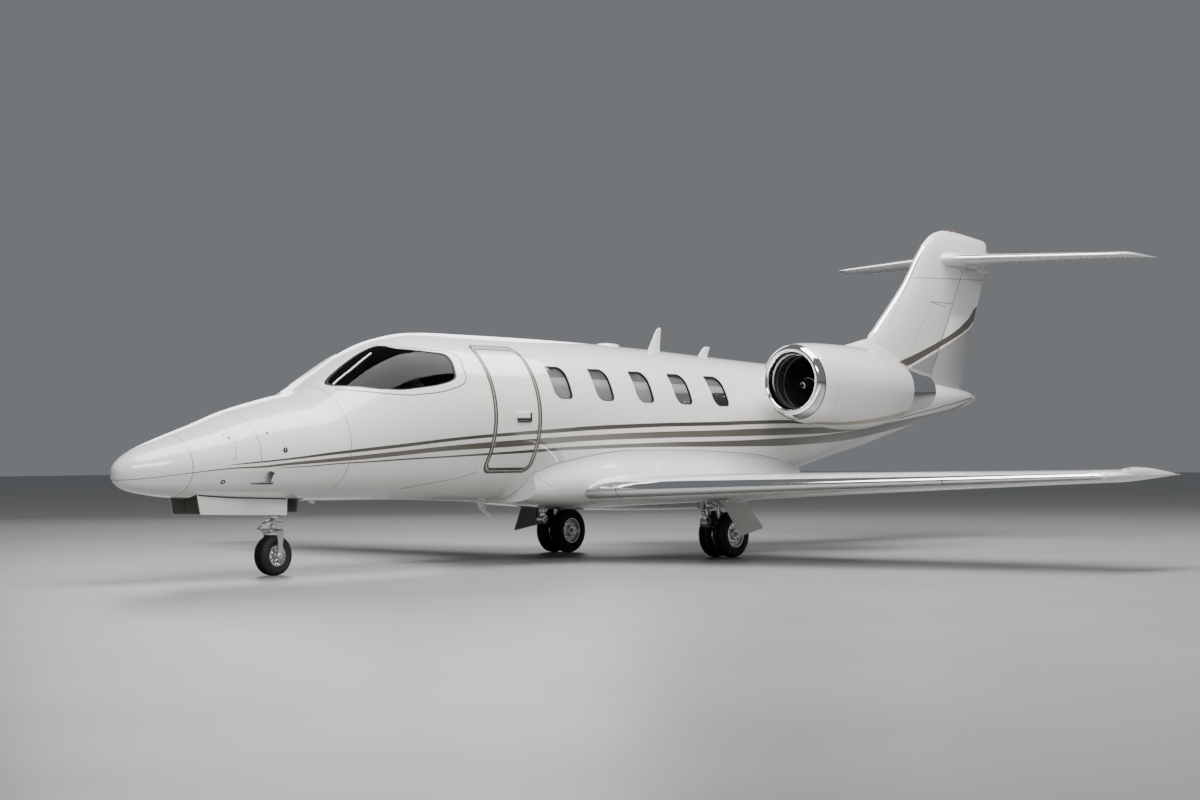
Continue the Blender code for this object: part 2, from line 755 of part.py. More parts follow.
def cove_ring(place, hinge, trail, half, cosine):
    """Section of the space that a hinged surface needs, open above and below."""
    radius = 1.15 * half + MOVE_GAP
    reach = 2.5 * half
    ring = []
    for a in np.linspace(-1.15, 1.15, 7):
        ring.append(place(hinge - radius * math.cos(a) / cosine, radius * math.sin(a)))
    ring.append(place(hinge - radius * math.cos(1.15) / cosine, reach))
    ring.append(place(trail + 0.3, reach))
    ring.append(place(trail + 0.3, -reach))
    ring.append(place(hinge - radius * math.cos(1.15) / cosine, -reach))
    return ring


def wing_hinge(y):
    """Station, height and half thickness at the flap and aileron hinge line."""
    lead, trail, height, depth = wing_at(y)
    chord = trail - lead
    half = section_depth(WING_HINGE) * depth * chord / 2.0 + 0.004 * WING_HINGE
    return lead + WING_HINGE * chord, trail, height, half


def wing_control(name, span, side, wing, material):
    (s0, _, z0, _), (s1, _, z1, _) = wing_hinge(span[0]), wing_hinge(span[1])
    cosine = (span[1] - span[0]) / math.hypot(span[1] - span[0], s1 - s0)

    def ring(maker, y):
        hinge, trail, height, half = wing_hinge(y)

        def place(station, offset):
            return Vector((st(station), side * y, height + offset))

        return maker(place, hinge, trail, half, cosine)

    surface = make(name, *loft([ring(control_ring, y) for y in span]), material)
    reach = (span[0] - SIDE_GAP, span[1] + SIDE_GAP)
    combine(wing, make(f"{name} cove", *loft([ring(cove_ring, y) for y in reach])))
    hinge_pins(surface, (st(s0), side * span[0], z0), (st(s1), side * span[1], z1), (wing, wing))
    place_origin(surface, (st((s0 + s1) / 2.0), side * (span[0] + span[1]) / 2.0, (z0 + z1) / 2.0))
    return surface


def build_wings():
    skin = paint()
    for name, side in (("port", 1), ("starboard", -1)):
        wing = make(f"wing_{name}", *wing_rings(side), skin)
        wing_control(f"flap_{name}", FLAP_Y, side, wing, skin)
        wing_control(f"aileron_{name}", AILERON_Y, side, wing, skin)


def tail_at(y):
    t = y / TAIL_TIP_Y
    return tuple(a + (b - a) * t for a, b in (TAIL_LE, TAIL_TE, TAIL_DEPTH))


def tail_ring(y, grow=0.0, lead_shift=0.0, squash=1.0):
    lead, trail, depth = tail_at(abs(y))

    def place(station, offset):
        return Vector((st(station), y, TAIL_Z + offset))

    return blade_ring(place, lead + lead_shift, trail, depth * squash, grow, 0.003)


def build_tailplane(fin):
    skin = finish("tail paint", (0.86, 0.86, 0.84), 0.2)
    ends = [(TAIL_END_Y, 0.18, 0.35), (TAIL_END_Y - 0.03, 0.06, 0.75)]
    rings = [tail_ring(-y, 0.0, shift, squash) for y, shift, squash in ends]
    rings += [tail_ring(y) for y in (-TAIL_TIP_Y, 0.0, TAIL_TIP_Y)]
    rings += [tail_ring(y, 0.0, shift, squash) for y, shift, squash in reversed(ends)]
    tailplane = make("tailplane", *loft(rings), skin)
    combine(fin, make("tailplane slot cutter", *loft([tail_ring(y, 0.0004) for y in (-0.5, 0.0, 0.5)])))
    for name, side in (("port", 1), ("starboard", -1)):
        def hinge_at(y):
            lead, trail, depth = tail_at(y)
            chord = trail - lead
            half = section_depth(TAIL_HINGE) * depth * chord / 2.0 + 0.003 * TAIL_HINGE
            return lead + TAIL_HINGE * chord, trail, half

        (s0, _, _), (s1, _, _) = hinge_at(ELEVATOR_Y[0]), hinge_at(ELEVATOR_Y[1])
        cosine = (ELEVATOR_Y[1] - ELEVATOR_Y[0]) / math.hypot(ELEVATOR_Y[1] - ELEVATOR_Y[0], s1 - s0)

        def ring(maker, y):
            hinge, trail, half = hinge_at(y)

            def place(station, offset):
                return Vector((st(station), side * y, TAIL_Z + offset))

            return maker(place, hinge, trail, half, cosine)

        elevator = make(f"elevator_{name}", *loft([ring(control_ring, y) for y in ELEVATOR_Y]), skin)
        reach = (ELEVATOR_Y[0] - SIDE_GAP, ELEVATOR_Y[1] + SIDE_GAP)
        combine(tailplane, make(f"elevator cove {name}", *loft([ring(cove_ring, y) for y in reach])))
        hinge_pins(elevator, (st(s0), side * ELEVATOR_Y[0], TAIL_Z), (st(s1), side * ELEVATOR_Y[1], TAIL_Z),
                   (tailplane, tailplane))
        place_origin(elevator, (st((s0 + s1) / 2.0), side * sum(ELEVATOR_Y) / 2.0, TAIL_Z))


def fin_at(height):
    lead, trail, half = table(FIN, height)
    return lead, trail, half


def fin_ring(height):
    lead, trail, half = fin_at(height)

    def place(station, offset):
        return Vector((st(station), offset, height))

    return blade_ring(place, lead, trail, 2.0 * half / (trail - lead), 0.0, 0.004)


def dorsal_ring(station):
    crest, half = table(DORSAL, station)
    points = []
    for t in np.linspace(-1.0, 1.0, 11):
        lift = math.cos(math.pi * t / 2.0) ** 0.8 if abs(t) < 1.0 else 0.0
        points.append(Vector((st(station), half * t, DORSAL_FOOT + (crest - DORSAL_FOOT) * lift)))
    return points


def rudder_hinge_station(height):
    (s0, z0), (s1, z1) = RUDDER_HINGE
    return s0 + (s1 - s0) * (height - z0) / (z1 - z0)


def rudder_half(height):
    lead, trail, half = fin_at(height)
    share = (rudder_hinge_station(height) - lead) / (trail - lead)
    return section_depth(share) * half + 0.004 * share


def build_fin():
    skin = finish("tail paint", (0.86, 0.86, 0.84), 0.2)
    fin = make("fin", *loft([fin_ring(z) for z in FIN[:, 0]]), skin)
    (s0, z0), (s1, z1) = RUDDER_HINGE
    cosine = (z1 - z0) / math.hypot(z1 - z0, s1 - s0)

    def ring(maker, height, foot=None):
        hinge = rudder_hinge_station(height)
        _, trail, _ = fin_at(height)

        def place(station, offset):
            drop = 0.0
            if foot is not None:
                drop = (foot[1] - foot[0]) * max(0.0, station - hinge) / (trail - hinge)
            return Vector((st(station), offset, height + drop))

        return maker(place, hinge, trail, rudder_half(height), cosine)

    rings = [ring(control_ring, RUDDER_FOOT[0], RUDDER_FOOT)]
    rings += [ring(control_ring, z) for z in (2.62, 3.05, 3.45, RUDDER_TOP)]
    rudder = make("rudder", *loft(rings), skin)
    cove = [ring(cove_ring, z) for z in (2.00, 2.62, 3.05, 3.45, RUDDER_NOTCH_TOP)]
    combine(fin, make("rudder cove", *loft(cove)))
    combine(fin, make("dorsal fairing", *loft([dorsal_ring(s) for s in DORSAL[:, 0]])), 'UNION')
    hinge_pins(rudder, (st(rudder_hinge_station(RUDDER_FOOT[0])), 0.0, RUDDER_FOOT[0]),
               (st(rudder_hinge_station(RUDDER_TOP)), 0.0, RUDDER_TOP), (bpy.data.objects["tail_cone"], fin),
               (0.130, 0.080))
    place_origin(rudder, (st((s0 + s1) / 2.0), 0.0, (z0 + z1) / 2.0))
    return fin


def engine_ring(station, radius, height, side):
    return [Vector((st(station), side * ENGINE_Y + radius * math.cos(a), height + radius * math.sin(a)))
            for a in np.linspace(0.0, 2.0 * math.pi, ENGINE_SIDES, endpoint=False)]


def engine_tube(name, rows, side, material):
    outer = [engine_ring(s, r, z, side) for s, r, _, z in rows]
    inner = [engine_ring(s, r, z, side) for s, _, r, z in rows]
    return make(name, *tube(outer, inner), material)


def build_fan(name, side):
    """Hub and spinner with a ring of twisted blades."""
    centre = Vector((st(FAN_STATION), side * ENGINE_Y, FAN_Z))
    profile = ((-0.115, 0.045), (-0.110, FAN_HUB), (0.050, FAN_HUB), (0.110, 0.090), (0.190, 0.055),
               (0.240, 0.020), (0.247, 0.004))
    fan = make(f"fan_{name}", *turned(profile, centre, (1, 0, 0), 18), dark_metal())
    blades = []
    for i in range(FAN_BLADES):
        turn = 2.0 * math.pi * i / FAN_BLADES
        rings = []
        for radius, pitch, chord in ((FAN_HUB - 0.03, 0.65, 0.080), (FAN_RADIUS, 1.15, 0.105)):
            ring = []
            for along, thick in ((-0.5, -1), (0.5, -1), (0.5, 1), (-0.5, 1)):
                a = along * chord
                t = thick * 0.0035
                x = a * math.cos(pitch) - t * math.sin(pitch)
                w = side * (a * math.sin(pitch) + t * math.cos(pitch))
                ring.append(centre + Vector((x, w * math.cos(turn) + radius * -math.sin(turn),
                                             w * math.sin(turn) + radius * math.cos(turn))))
            rings.append(ring)
        blades.append(loft(rings))
    combine(fan, make(f"fan blades {name}", *merge(blades)), 'UNION')
    shaft_start, shaft_end = centre + STATION_AFT * 0.09, centre + STATION_AFT * 0.20
    combine(fan, make(f"fan shaft {name}", *rod(shaft_start, shaft_end, 0.025, 12)), 'UNION')
    place_origin(fan, centre)


def build_core(name, side):
    """The engine as one plain block, hung in the cowl by its guide vanes."""
    centre = Vector((st(CORE_SPAN[0]), side * ENGINE_Y, CORE_Z))
    length = CORE_SPAN[1] - CORE_SPAN[0]
    profile = ((0.0, CORE_RADIUS), (length * 0.75, CORE_RADIUS), (length, CORE_RADIUS * 0.62))
    core = make(f"engine_core_{name}", *turned(profile, centre, STATION_AFT, 24), dark_metal())
    vanes = []
    for i in range(VANES):
        turn = 2.0 * math.pi * (i + 0.5) / VANES
        out = Vector((0.0, math.cos(turn), math.sin(turn)))
        across = Vector((0.0, -math.sin(turn), math.cos(turn)))
        rings = []
        for radius in (CORE_RADIUS - 0.04, 0.46):
            rings.append([centre + out * radius + across * w + STATION_AFT * a
                          for a, w in ((0.16, -0.008), (0.40, -0.008), (0.40, 0.008), (0.16, 0.008))])
        vanes.append(loft(rings))
    combine(core, make(f"guide vanes {name}", *merge(vanes)), 'UNION')
    shaft = Vector((st(FAN_STATION), side * ENGINE_Y, FAN_Z))
    combine(core, make(f"shaft bore {name}", *rod(shaft + STATION_AFT * 0.09, shaft + STATION_AFT * 0.201,
                                                  0.0259, 12)))
    bore = make(f"cowl bore {name}",
                *loft([engine_ring(s, r - SEAT_GAP, z, side) for s, _, r, z in (*COWL, *NOZZLE[1:])]))
    combine(core, bore, 'INTERSECT')


def build_engines():
    cowl_paint = finish("cowl paint", (0.86, 0.86, 0.84), 0.2)
    for name, side in (("port", 1), ("starboard", -1)):
        engine_tube(f"inlet_lip_{name}", LIP, side, polished())
        engine_tube(f"nacelle_{name}", COWL, side, cowl_paint)
        engine_tube(f"exhaust_nozzle_{name}", NOZZLE, side, polished())
        build_fan(name, side)
        build_core(name, side)
        build_pylon(name, side, cowl_paint)


def build_pylon(name, side, material):
    lead, trail = PYLON_SPAN

    def ring(y):
        def place(station, offset):
            return Vector((st(station), side * y, PYLON_Z + offset))

        return blade_ring(place, lead, trail, PYLON_DEPTH / (trail - lead))

    pylon = make(f"pylon_{name}", *loft([ring(0.30), ring(1.30)]), material)
    combine(pylon, hull_solid(f"pylon hull cutter {name}", CABIN_END, 12.45, -SEAT_GAP))
    body = make(f"pylon cowl cutter {name}",
                *loft([engine_ring(s, r + SEAT_GAP, z, side) for s, r, _, z in COWL]
                      + [engine_ring(s, r + SEAT_GAP, z, side) for s, r, _, z in NOZZLE[1:]]))
    combine(pylon, body)


def tyre_profile(radius, rim, width, chine=0.0):
    """Closed tyre section of (distance across, radius)."""
    half = width / 2.0
    wall = radius - rim
    right = [(0.70 * half, rim), (0.92 * half, rim + 0.22 * wall), (half + chine, rim + 0.55 * wall),
             (0.90 * half, rim + 0.84 * wall), (0.35 * half, radius)]
    left = [(-a, r) for a, r in reversed(right)]
    return right + left


def build_nose_gear():
    x = st(NOSE_WHEEL_STATION)
    hub = NOSE_TYRE_RADIUS
    leg = make("nose_leg", *rod((x, 0, NOSE_BAY_ROOF - SEAT_GAP), (x, 0, STEER_SPLIT), 0.048, 16), steel())
    collar = make("nose leg collar", *rod((x, 0, 0.72), (x, 0, 0.64), 0.070, 16))
    brace = make("nose drag brace", *rod((x + 0.50, 0, NOSE_BAY_ROOF - 0.05), (x + 0.01, 0, 0.69), 0.024, 12))
    seat = make("nose brace seat", *block((x + 0.42, -0.05, NOSE_BAY_ROOF - 0.10),
                                          (x + 0.56, 0.05, NOSE_BAY_ROOF - SEAT_GAP)))
    for piece in (collar, brace, seat):
        combine(leg, piece, 'UNION')

    fork = make("nose_fork", *rod((x, 0, STEER_SPLIT - SEAT_GAP), (x, 0, 0.450), 0.036), steel())
    crown = make("fork crown", *block((x - 0.055, -0.112, 0.428), (x + 0.055, 0.112, 0.478)))
    collar = make("steering collar", *rod((x, 0, 0.560), (x, 0, 0.520), 0.062))
    link = make("torque link", *block((x + 0.03, -0.030, 0.455), (x + 0.105, 0.030, 0.555)))
    combine(fork, crown, 'UNION')
    combine(fork, collar, 'UNION')
    combine(fork, link, 'UNION')
    for side in (1, -1):
        cheek = make(f"fork cheek {side}", *block((x - 0.030, side * 0.0935, hub - 0.032),
                                                 (x + 0.030, side * 0.1115, 0.4405)))
        combine(fork, cheek, 'UNION')
    axle = make("nose axle", *rod((x, -0.125, hub), (x, 0.125, hub), NOSE_AXLE_RADIUS))
    combine(fork, axle, 'UNION')
    place_origin(fork, (x, 0.0, hub))

    centre = (x, 0.0, hub)
    bore = NOSE_AXLE_RADIUS + 0.0006
    profile = ((-0.070, bore), (0.070, bore), (0.070, 0.045), (0.040, 0.055), (0.045, 0.095),
               (0.058, NOSE_RIM_RADIUS), (-0.058, NOSE_RIM_RADIUS), (-0.045, 0.095),
               (-0.040, 0.055), (-0.070, 0.045))
    rim = make("nose_rim", *ring_of(profile, centre, (0, 1, 0), WHEEL_SIDES), steel())
    profile = tyre_profile(NOSE_TYRE_RADIUS, NOSE_RIM_RADIUS + SEAT_GAP, NOSE_TYRE_WIDTH, 0.004)
    tyre = make("nose_tyre", *ring_of(profile, centre, (0, 1, 0), WHEEL_SIDES), rubber())
    for piece in (rim, tyre):
        place_origin(piece, centre)

    for name, side in (("port", 1), ("starboard", -1)):
        outer = side * (NOSE_BAY_HALF - SEAT_GAP)
        inner = side * (NOSE_BAY_HALF - 0.022)
        low_front, low_rear = NOSE_DOOR_SPAN[0] + 0.05, NOSE_DOOR_SPAN[1] - 0.015
        outline = [(NOSE_DOOR_SPAN[0], 0.86), (NOSE_DOOR_SPAN[1], 0.86), (low_rear, NOSE_DOOR_LOW),
                   (low_front, NOSE_DOOR_LOW + 0.03)]
        make(f"nose_gear_door_{name}", *side_prism(outline, min(outer, inner), max(outer, inner)), paint())


def build_main_gear(name, side):
    x, y, hub = st(MAIN_STATION), side * MAIN_Y, MAIN_TYRE_RADIUS
    post_x = st(MAIN_POST_STATION)
    leg = make(f"main_leg_{name}", *rod((post_x, y, 0.80), (post_x, y, 0.385), 0.046), steel())
    pieces = [
        make(f"leg head {name}", *block((post_x - 0.075, y - LEG_HEAD_HALF, 0.560),
                                        (post_x + 0.070, y + LEG_HEAD_HALF, 0.760))),
        make(f"leg elbow {name}", *rod((post_x, y - 0.052, 0.410), (post_x, y + 0.052, 0.410), 0.056)),
        make(f"trailing arm {name}", *rod((post_x, y, 0.410), (x, y, hub), 0.038)),
        make(f"axle eye {name}", *rod((x, y - 0.041, hub), (x, y + 0.041, hub), 0.056, 24)),
        make(f"shock strut {name}", *rod((x + 0.075, y, 0.305), (x + 0.115, y, 0.760), 0.026, 12)),
    ]
    for piece in pieces:
        combine(leg, piece, 'UNION')
    combine(leg, make(f"axle bore {name}", *rod((x, y - 0.1, hub), (x, y + 0.1, hub),
                                                MAIN_SHAFT_RADIUS + 0.0006, 24)))
    combine(leg, make(f"leg wing cutter {name}", *wing_rings(side, 0.0004)))

    centre = (x, y, hub)
    half = MAIN_TYRE_WIDTH / 2.0
    face = TWIN_OFFSET + half - 0.006
    inside = TWIN_OFFSET - half + 0.006
    outer_side = [(MAIN_SHAFT_RADIUS, inside), (MAIN_RIM_RADIUS, inside), (MAIN_RIM_RADIUS, face),
                  (0.135, face), (0.125, face - 0.045), (0.060, face - 0.045), (0.040, face)]
    profile = [(-a, r) for r, a in reversed(outer_side)] + [(a, r) for r, a in outer_side]
    rims = make(f"main_rims_{name}", *turned(profile, centre, (0, 1, 0), WHEEL_SIDES), steel())
    place_origin(rims, centre)
    for place, shift in (("inner", -side), ("outer", side)):
        tyre_centre = (x, y + shift * TWIN_OFFSET, hub)
        tyre = make(f"main_tyre_{name}_{place}",
                    *ring_of(tyre_profile(MAIN_TYRE_RADIUS, MAIN_RIM_RADIUS + SEAT_GAP, MAIN_TYRE_WIDTH),
                             tyre_centre, (0, 1, 0), WHEEL_SIDES), rubber())
        place_origin(tyre, centre)

    build_main_door(name, side, post_x)


def build_main_door(name, side, post_x):
    """A plate beside the outer wheel, leaning outboard, on an arm from the leg's head."""
    lean = (1.700 - 1.520) / (0.640 - 0.330)
    rings = []
    for corners in (((7.53, 0.640), (7.98, 0.640)), ((7.60, 0.265), (8.10, 0.345))):
        ring = []
        for corner, thick in ((0, -0.009), (1, -0.009), (1, 0.009), (0, 0.009)):
            station, height = corners[corner]
            across = 1.520 + lean * (0.640 - height) + thick
            ring.append(Vector((st(station), side * across, height)))
        rings.append(ring)
    door = make(f"main_gear_door_{name}", *loft(rings), paint())
    near = side * (MAIN_Y + LEG_HEAD_HALF + SEAT_GAP)
    arm = make(f"door arm {name}", *block((post_x - 0.060, min(near, side * 1.530), 0.585),
                                          (post_x - 0.020, max(near, side * 1.530), 0.620)))
    combine(door, arm, 'UNION')


def seat_shape(station, facing, y, width):
    """One seat: cushion and back in one outline, on a low box."""
    def at(ahead, height):
        return (station - facing * ahead, FLOOR_TOP + height)

    outline = [at(0.26, 0.30), at(0.27, 0.42), at(-0.14, 0.40), at(-0.30, 0.93), at(-0.40, 0.93),
               at(-0.27, 0.30)]
    seat = side_prism(outline, y - width / 2.0, y + width / 2.0)
    box = side_prism([at(0.16, 0.02), at(0.16, 0.33), at(-0.20, 0.33), at(-0.20, 0.02)], y - 0.14, y + 0.14)
    return seat, box


def build_interior():
    floor = make("cabin_floor", *block((st(CABIN_END - 0.002), -0.9, FLOOR_TOP - FLOOR_DEPTH),
                                       (st(NOSE_END + 0.005), 0.9, FLOOR_TOP)), trim())
    combine(floor, hull_solid("floor keeper", NOSE_END, CABIN_END, HULL_WALL + SEAT_GAP), 'INTERSECT')

    hide = leather()
    rail_low, rail_high = FLOOR_TOP + SEAT_GAP, FLOOR_TOP + 0.03
    crew_seat, crew_box = seat_shape(CREW_SEAT_STATION, 1, 0.35, 0.44)
    crew = make("crew_seats", *crew_seat, hide)
    mate_seat, mate_box = seat_shape(CREW_SEAT_STATION, 1, -0.35, 0.44)
    rail = block((st(CREW_SEAT_STATION + 0.10), -0.42, rail_low), (st(CREW_SEAT_STATION), 0.42, rail_high))
    for i, shape in enumerate((crew_box, mate_seat, mate_box, rail)):
        combine(crew, make(f"crew seat piece {i}", *shape), 'UNION')

    for name, side in (("port", 1), ("starboard", -1)):
        rail = block((st(CABIN_SEATS[-1][0] + 0.1), min(side * 0.36, side * 0.50), rail_low),
                     (st(CABIN_SEATS[0][0] - 0.1), max(side * 0.36, side * 0.50), rail_high))
        shapes = [rail]
        for station, facing in CABIN_SEATS:
            shapes.extend(seat_shape(station, facing, side * SEAT_Y, SEAT_WIDTH))
        row = make(f"cabin_seats_{name}", *shapes[0], hide)
        for i, shape in enumerate(shapes[1:]):
            combine(row, make(f"cabin seat piece {name} {i}", *shape), 'UNION')

    outline = [(2.66, 1.42), (2.66, 1.72), (2.98, 1.80), (2.98, 1.76), (2.90, 1.74), (2.84, 1.42)]
    panel = make("instrument_panel", *side_prism(outline, -0.46, 0.46), trim())
    foot = FLOOR_TOP + SEAT_GAP
    outline = [(2.70, foot), (2.70, 1.50), (2.83, 1.50), (3.20, 1.36), (3.20, foot)]
    pedestal = make("pedestal", *side_prism(outline, -0.09, 0.09))
    combine(panel, pedestal, 'UNION')


def main():
    clear_scene()
    build_fuselage()
    build_fairing()
    build_wings()
    fin = build_fin()
    build_tailplane(fin)
    combine(fin, hull_solid("fin hull cutter", 9.84, TAIL_END, -SEAT_GAP))
    build_engines()
    build_nose_gear()
    build_main_gear("port", 1)
    build_main_gear("starboard", -1)
    build_interior()


main()
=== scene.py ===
# %% [markdown]
# # A business jet, parked on its gear
#
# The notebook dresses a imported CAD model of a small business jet. The CAD holds the sizes, the
# joints and the collision; here each of its pieces gets a finer surface and a finish. Every new
# piece rides on the CAD body that it belongs to, so the doors, wheels, fans and control surfaces
# still turn.
#
# Metres, +X forward, +Y to port, +Z up. A station is a distance aft of the nose tip.

# %% Open the frame
import math

import bmesh
import bpy
import numpy as np
from mathutils import Matrix, Vector


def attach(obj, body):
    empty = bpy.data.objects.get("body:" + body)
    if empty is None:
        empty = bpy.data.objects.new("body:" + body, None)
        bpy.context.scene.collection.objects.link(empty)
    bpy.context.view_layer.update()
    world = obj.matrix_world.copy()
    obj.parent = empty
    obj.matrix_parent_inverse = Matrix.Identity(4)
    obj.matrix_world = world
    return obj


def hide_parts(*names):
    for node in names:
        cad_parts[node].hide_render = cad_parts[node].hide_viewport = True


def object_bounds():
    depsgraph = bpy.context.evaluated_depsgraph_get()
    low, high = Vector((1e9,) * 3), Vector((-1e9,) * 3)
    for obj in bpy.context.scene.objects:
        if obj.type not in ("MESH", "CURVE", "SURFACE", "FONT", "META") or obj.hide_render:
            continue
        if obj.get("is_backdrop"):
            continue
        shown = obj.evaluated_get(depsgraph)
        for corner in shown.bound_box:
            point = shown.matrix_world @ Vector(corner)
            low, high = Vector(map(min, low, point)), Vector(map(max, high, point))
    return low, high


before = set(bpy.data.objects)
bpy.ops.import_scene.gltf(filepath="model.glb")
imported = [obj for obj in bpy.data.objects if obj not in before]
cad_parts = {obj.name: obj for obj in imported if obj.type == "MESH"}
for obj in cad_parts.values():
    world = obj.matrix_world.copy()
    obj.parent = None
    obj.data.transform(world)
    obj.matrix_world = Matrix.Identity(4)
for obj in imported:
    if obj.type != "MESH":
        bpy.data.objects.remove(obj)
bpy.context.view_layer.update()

# %% [markdown]
# ## Smooth columns from short tables
#
# A fuselage is drawn from a few measured frames and faired between them. A monotone cubic does the
# fairing: unlike a plain spline it never bulges between two rows, which on glossy paint would show
# as a wave.

# %% Read a table between its rows
NOSE_X = 8.2784  # X of the nose tip
SIDES = (("port", 1), ("starboard", -1))


def floats(values):
    return np.asarray(values, float)


def at_rows(rows, where):
    """Each column of a table at every place asked for.

    Between two rows t runs from 0 to 1 and the value is (1+2t)(1-t)^2 low + t(1-t)^2 step slope
    + t^2(3-2t) high + t^2(t-1) step next slope, with harmonic means of the chords as slopes.
    """
    where = np.atleast_1d(floats(where))
    x = rows[:, 0]
    step = np.diff(x)
    chord = np.diff(rows[:, 1:], axis=0) / step[:, None]
    same = chord[:-1] * chord[1:] > 0
    mean = np.where(same, 2 * chord[:-1] * chord[1:] / np.where(same, chord[:-1] + chord[1:], 1), 0)
    slope = np.vstack([chord[:1], mean, chord[-1:]])
    i = np.clip(np.searchsorted(x, where) - 1, 0, len(step) - 1)
    t = ((where - x[i]) / step[i])[:, None]
    gap = step[i][:, None]
    return ((1 + 2 * t) * (1 - t) ** 2 * rows[i, 1:] + t * (1 - t) ** 2 * gap * slope[i]
        + t * t * (3 - 2 * t) * rows[i + 1, 1:] + t * t * (t - 1) * gap * slope[i + 1])


def columns_at(rows, where):
    """The columns of a table at every place, each as one upright column."""
    return (column[:, None] for column in at_rows(rows, where).T)


def points_of(x, y, z):
    """Three arrays as one array of points."""
    return np.stack(np.broadcast_arrays(x, y, z), axis=-1).astype(float)


def placed(station, y, z):
    """Points by their station."""
    return points_of(NOSE_X - station, y, z)


def unit(v):
    return v / np.linalg.norm(v, axis=-1, keepdims=True)


def round_angles(count):
    return np.linspace(0, 2 * np.pi, count, endpoint=False)

# %% [markdown]
# ## From a grid of points to a mesh
#
# Every new surface is a grid worked out at once as whole arrays. A shape is a pair: its points, and
# a list of face arrays. A closed skin, a wall with two sides, a bar along a path and a turned piece
# then differ only in which edges of the grid are joined.

# %% Grids, lofts, walls and slabs
def grid_faces(rows, columns, wrap_rows=False, wrap_columns=False):
    """Four-sided faces between neighbours: (i, j), (i, j+1), (i+1, j+1), (i+1, j)."""
    i, j = np.meshgrid(np.arange(rows if wrap_rows else rows - 1), np.arange(columns if wrap_columns else columns - 1),
        indexing="ij")
    below, after = (i + 1) % rows, (j + 1) % columns
    corners = (i * columns + j, i * columns + after, below * columns + after, below * columns + j)
    return np.stack(corners, axis=-1).reshape(-1, 4)


def lofted(grid):
    """A closed skin: the columns run round, and the first and last rows are capped."""
    rows, columns = grid.shape[:2]
    cap = np.arange(columns)[None, :]
    return grid.reshape(-1, 3), [grid_faces(rows, columns, wrap_columns=True), cap[:, ::-1], cap + (rows - 1) * columns]


def looped(grid):
    """A closed ring: both the rows and the columns run round."""
    return grid.reshape(-1, 3), [grid_faces(*grid.shape[:2], wrap_rows=True, wrap_columns=True)]


def walled(outer, inner):
    """A wall between two skins that run round, open through the middle."""
    return looped(np.concatenate([outer, inner[::-1]], axis=0))


def slab(front, back):
    """A closed slab between two open grids of the same size."""
    rows, columns = front.shape[:2]
    ring = np.hstack([front, back[:, ::-1]])
    count, here, after = 2 * columns, np.arange(columns - 1), np.arange(1, columns)
    end = np.stack([here, after, count - 1 - after, count - 1 - here], axis=-1)
    return ring.reshape(-1, 3), [grid_faces(rows, count, wrap_columns=True), end[:, ::-1], end + (rows - 1) * count]


def together(*shapes):
    """Several shapes as one."""
    points, faces, start = [], [], 0
    for own_points, own_faces in shapes:
        points.append(own_points)
        faces += [f + start for f in own_faces]
        start += len(own_points)
    return np.concatenate(points), faces

# %% Bars, turned pieces and boxes
def turned(profile, centre, direction, sides=48, ring=False):
    """A profile (distance along, radius) carried round an axis: centre + a along + r (cos t, sin t)."""
    along = unit(floats(direction))
    side = unit(np.cross((0, 0, 1) if abs(along[2]) < 0.9 else (1, 0, 0), along))
    profile, t = floats(profile), round_angles(sides)[:, None]
    spoke = np.cos(t) * side + np.sin(t) * np.cross(along, side)
    grid = floats(centre) + profile[:, None, :1] * along + profile[:, None, 1:] * spoke[None]
    return looped(grid) if ring else lofted(grid)


def bar(start, end, radius, end_radius=None, sides=28, edge=0.002):
    """A round bar between two points, with its two rims taken off."""
    start, end = floats(start), floats(end)
    length = float(np.linalg.norm(end - start))
    last = radius if end_radius is None else end_radius
    return turned([(0, radius - edge), (edge, radius), (length - edge, last), (length, last - edge)], start,
        end - start, sides)


def box(low, high):
    """A plain box between two corners."""
    low, high = floats(low), floats(high)
    corner = floats([(x, y, z) for x in (0, 1) for y in (0, 1) for z in (0, 1)])
    faces = np.array([(0, 1, 3, 2), (4, 6, 7, 5), (0, 4, 5, 1), (2, 3, 7, 6), (0, 2, 6, 4), (1, 5, 7, 3)])
    return low + corner * (high - low), [faces]


def prism(outline, shift):
    """A flat outline drawn along a vector."""
    return lofted(np.stack([floats(outline), floats(outline) + floats(shift)]))


def swept(path, side, up, profile, closed=False):
    """A closed profile (across, above) carried along a path: p + a side + b up."""
    profile = floats(profile)
    grid = path[:, None] + profile[None, :, :1] * side[:, None] + profile[None, :, 1:] * up[:, None]
    return looped(grid) if closed else lofted(grid)


def reach_along(points):
    """How far along its path each point lies."""
    return np.concatenate([[0], np.cumsum(np.linalg.norm(np.diff(points, axis=0), axis=1))])


def pipe(points, radius, sides=12, steps=8):
    """A bent round bar: a smooth curve through the points, with a circle square to it."""
    points = floats(points)
    reach = reach_along(points)
    path = at_rows(np.column_stack([reach, points]), np.linspace(0, reach[-1], steps * (len(points) - 1) + 1))
    along = unit(np.gradient(path, axis=0))
    helper = np.where(np.abs(along[:, 1:2]) < 0.9, [[0, 1, 0]], [[1, 0, 0]])
    side, t = unit(np.cross(helper, along)), round_angles(sides)
    return swept(path, side, np.cross(along, side), radius * np.column_stack([np.cos(t), np.sin(t)]))

# %% [markdown]
# ## Putting a shape into Blender
#
# Faces have to point outwards. Blender works that out for each closed shell. A bevel and the
# sharp-edge angle then decide where light breaks.

# %% Make, cut and settle a piece
made = {}


def show_edges(mesh, sharp):
    mesh.shade_smooth()
    mesh.set_sharp_from_angle(angle=math.radians(sharp))


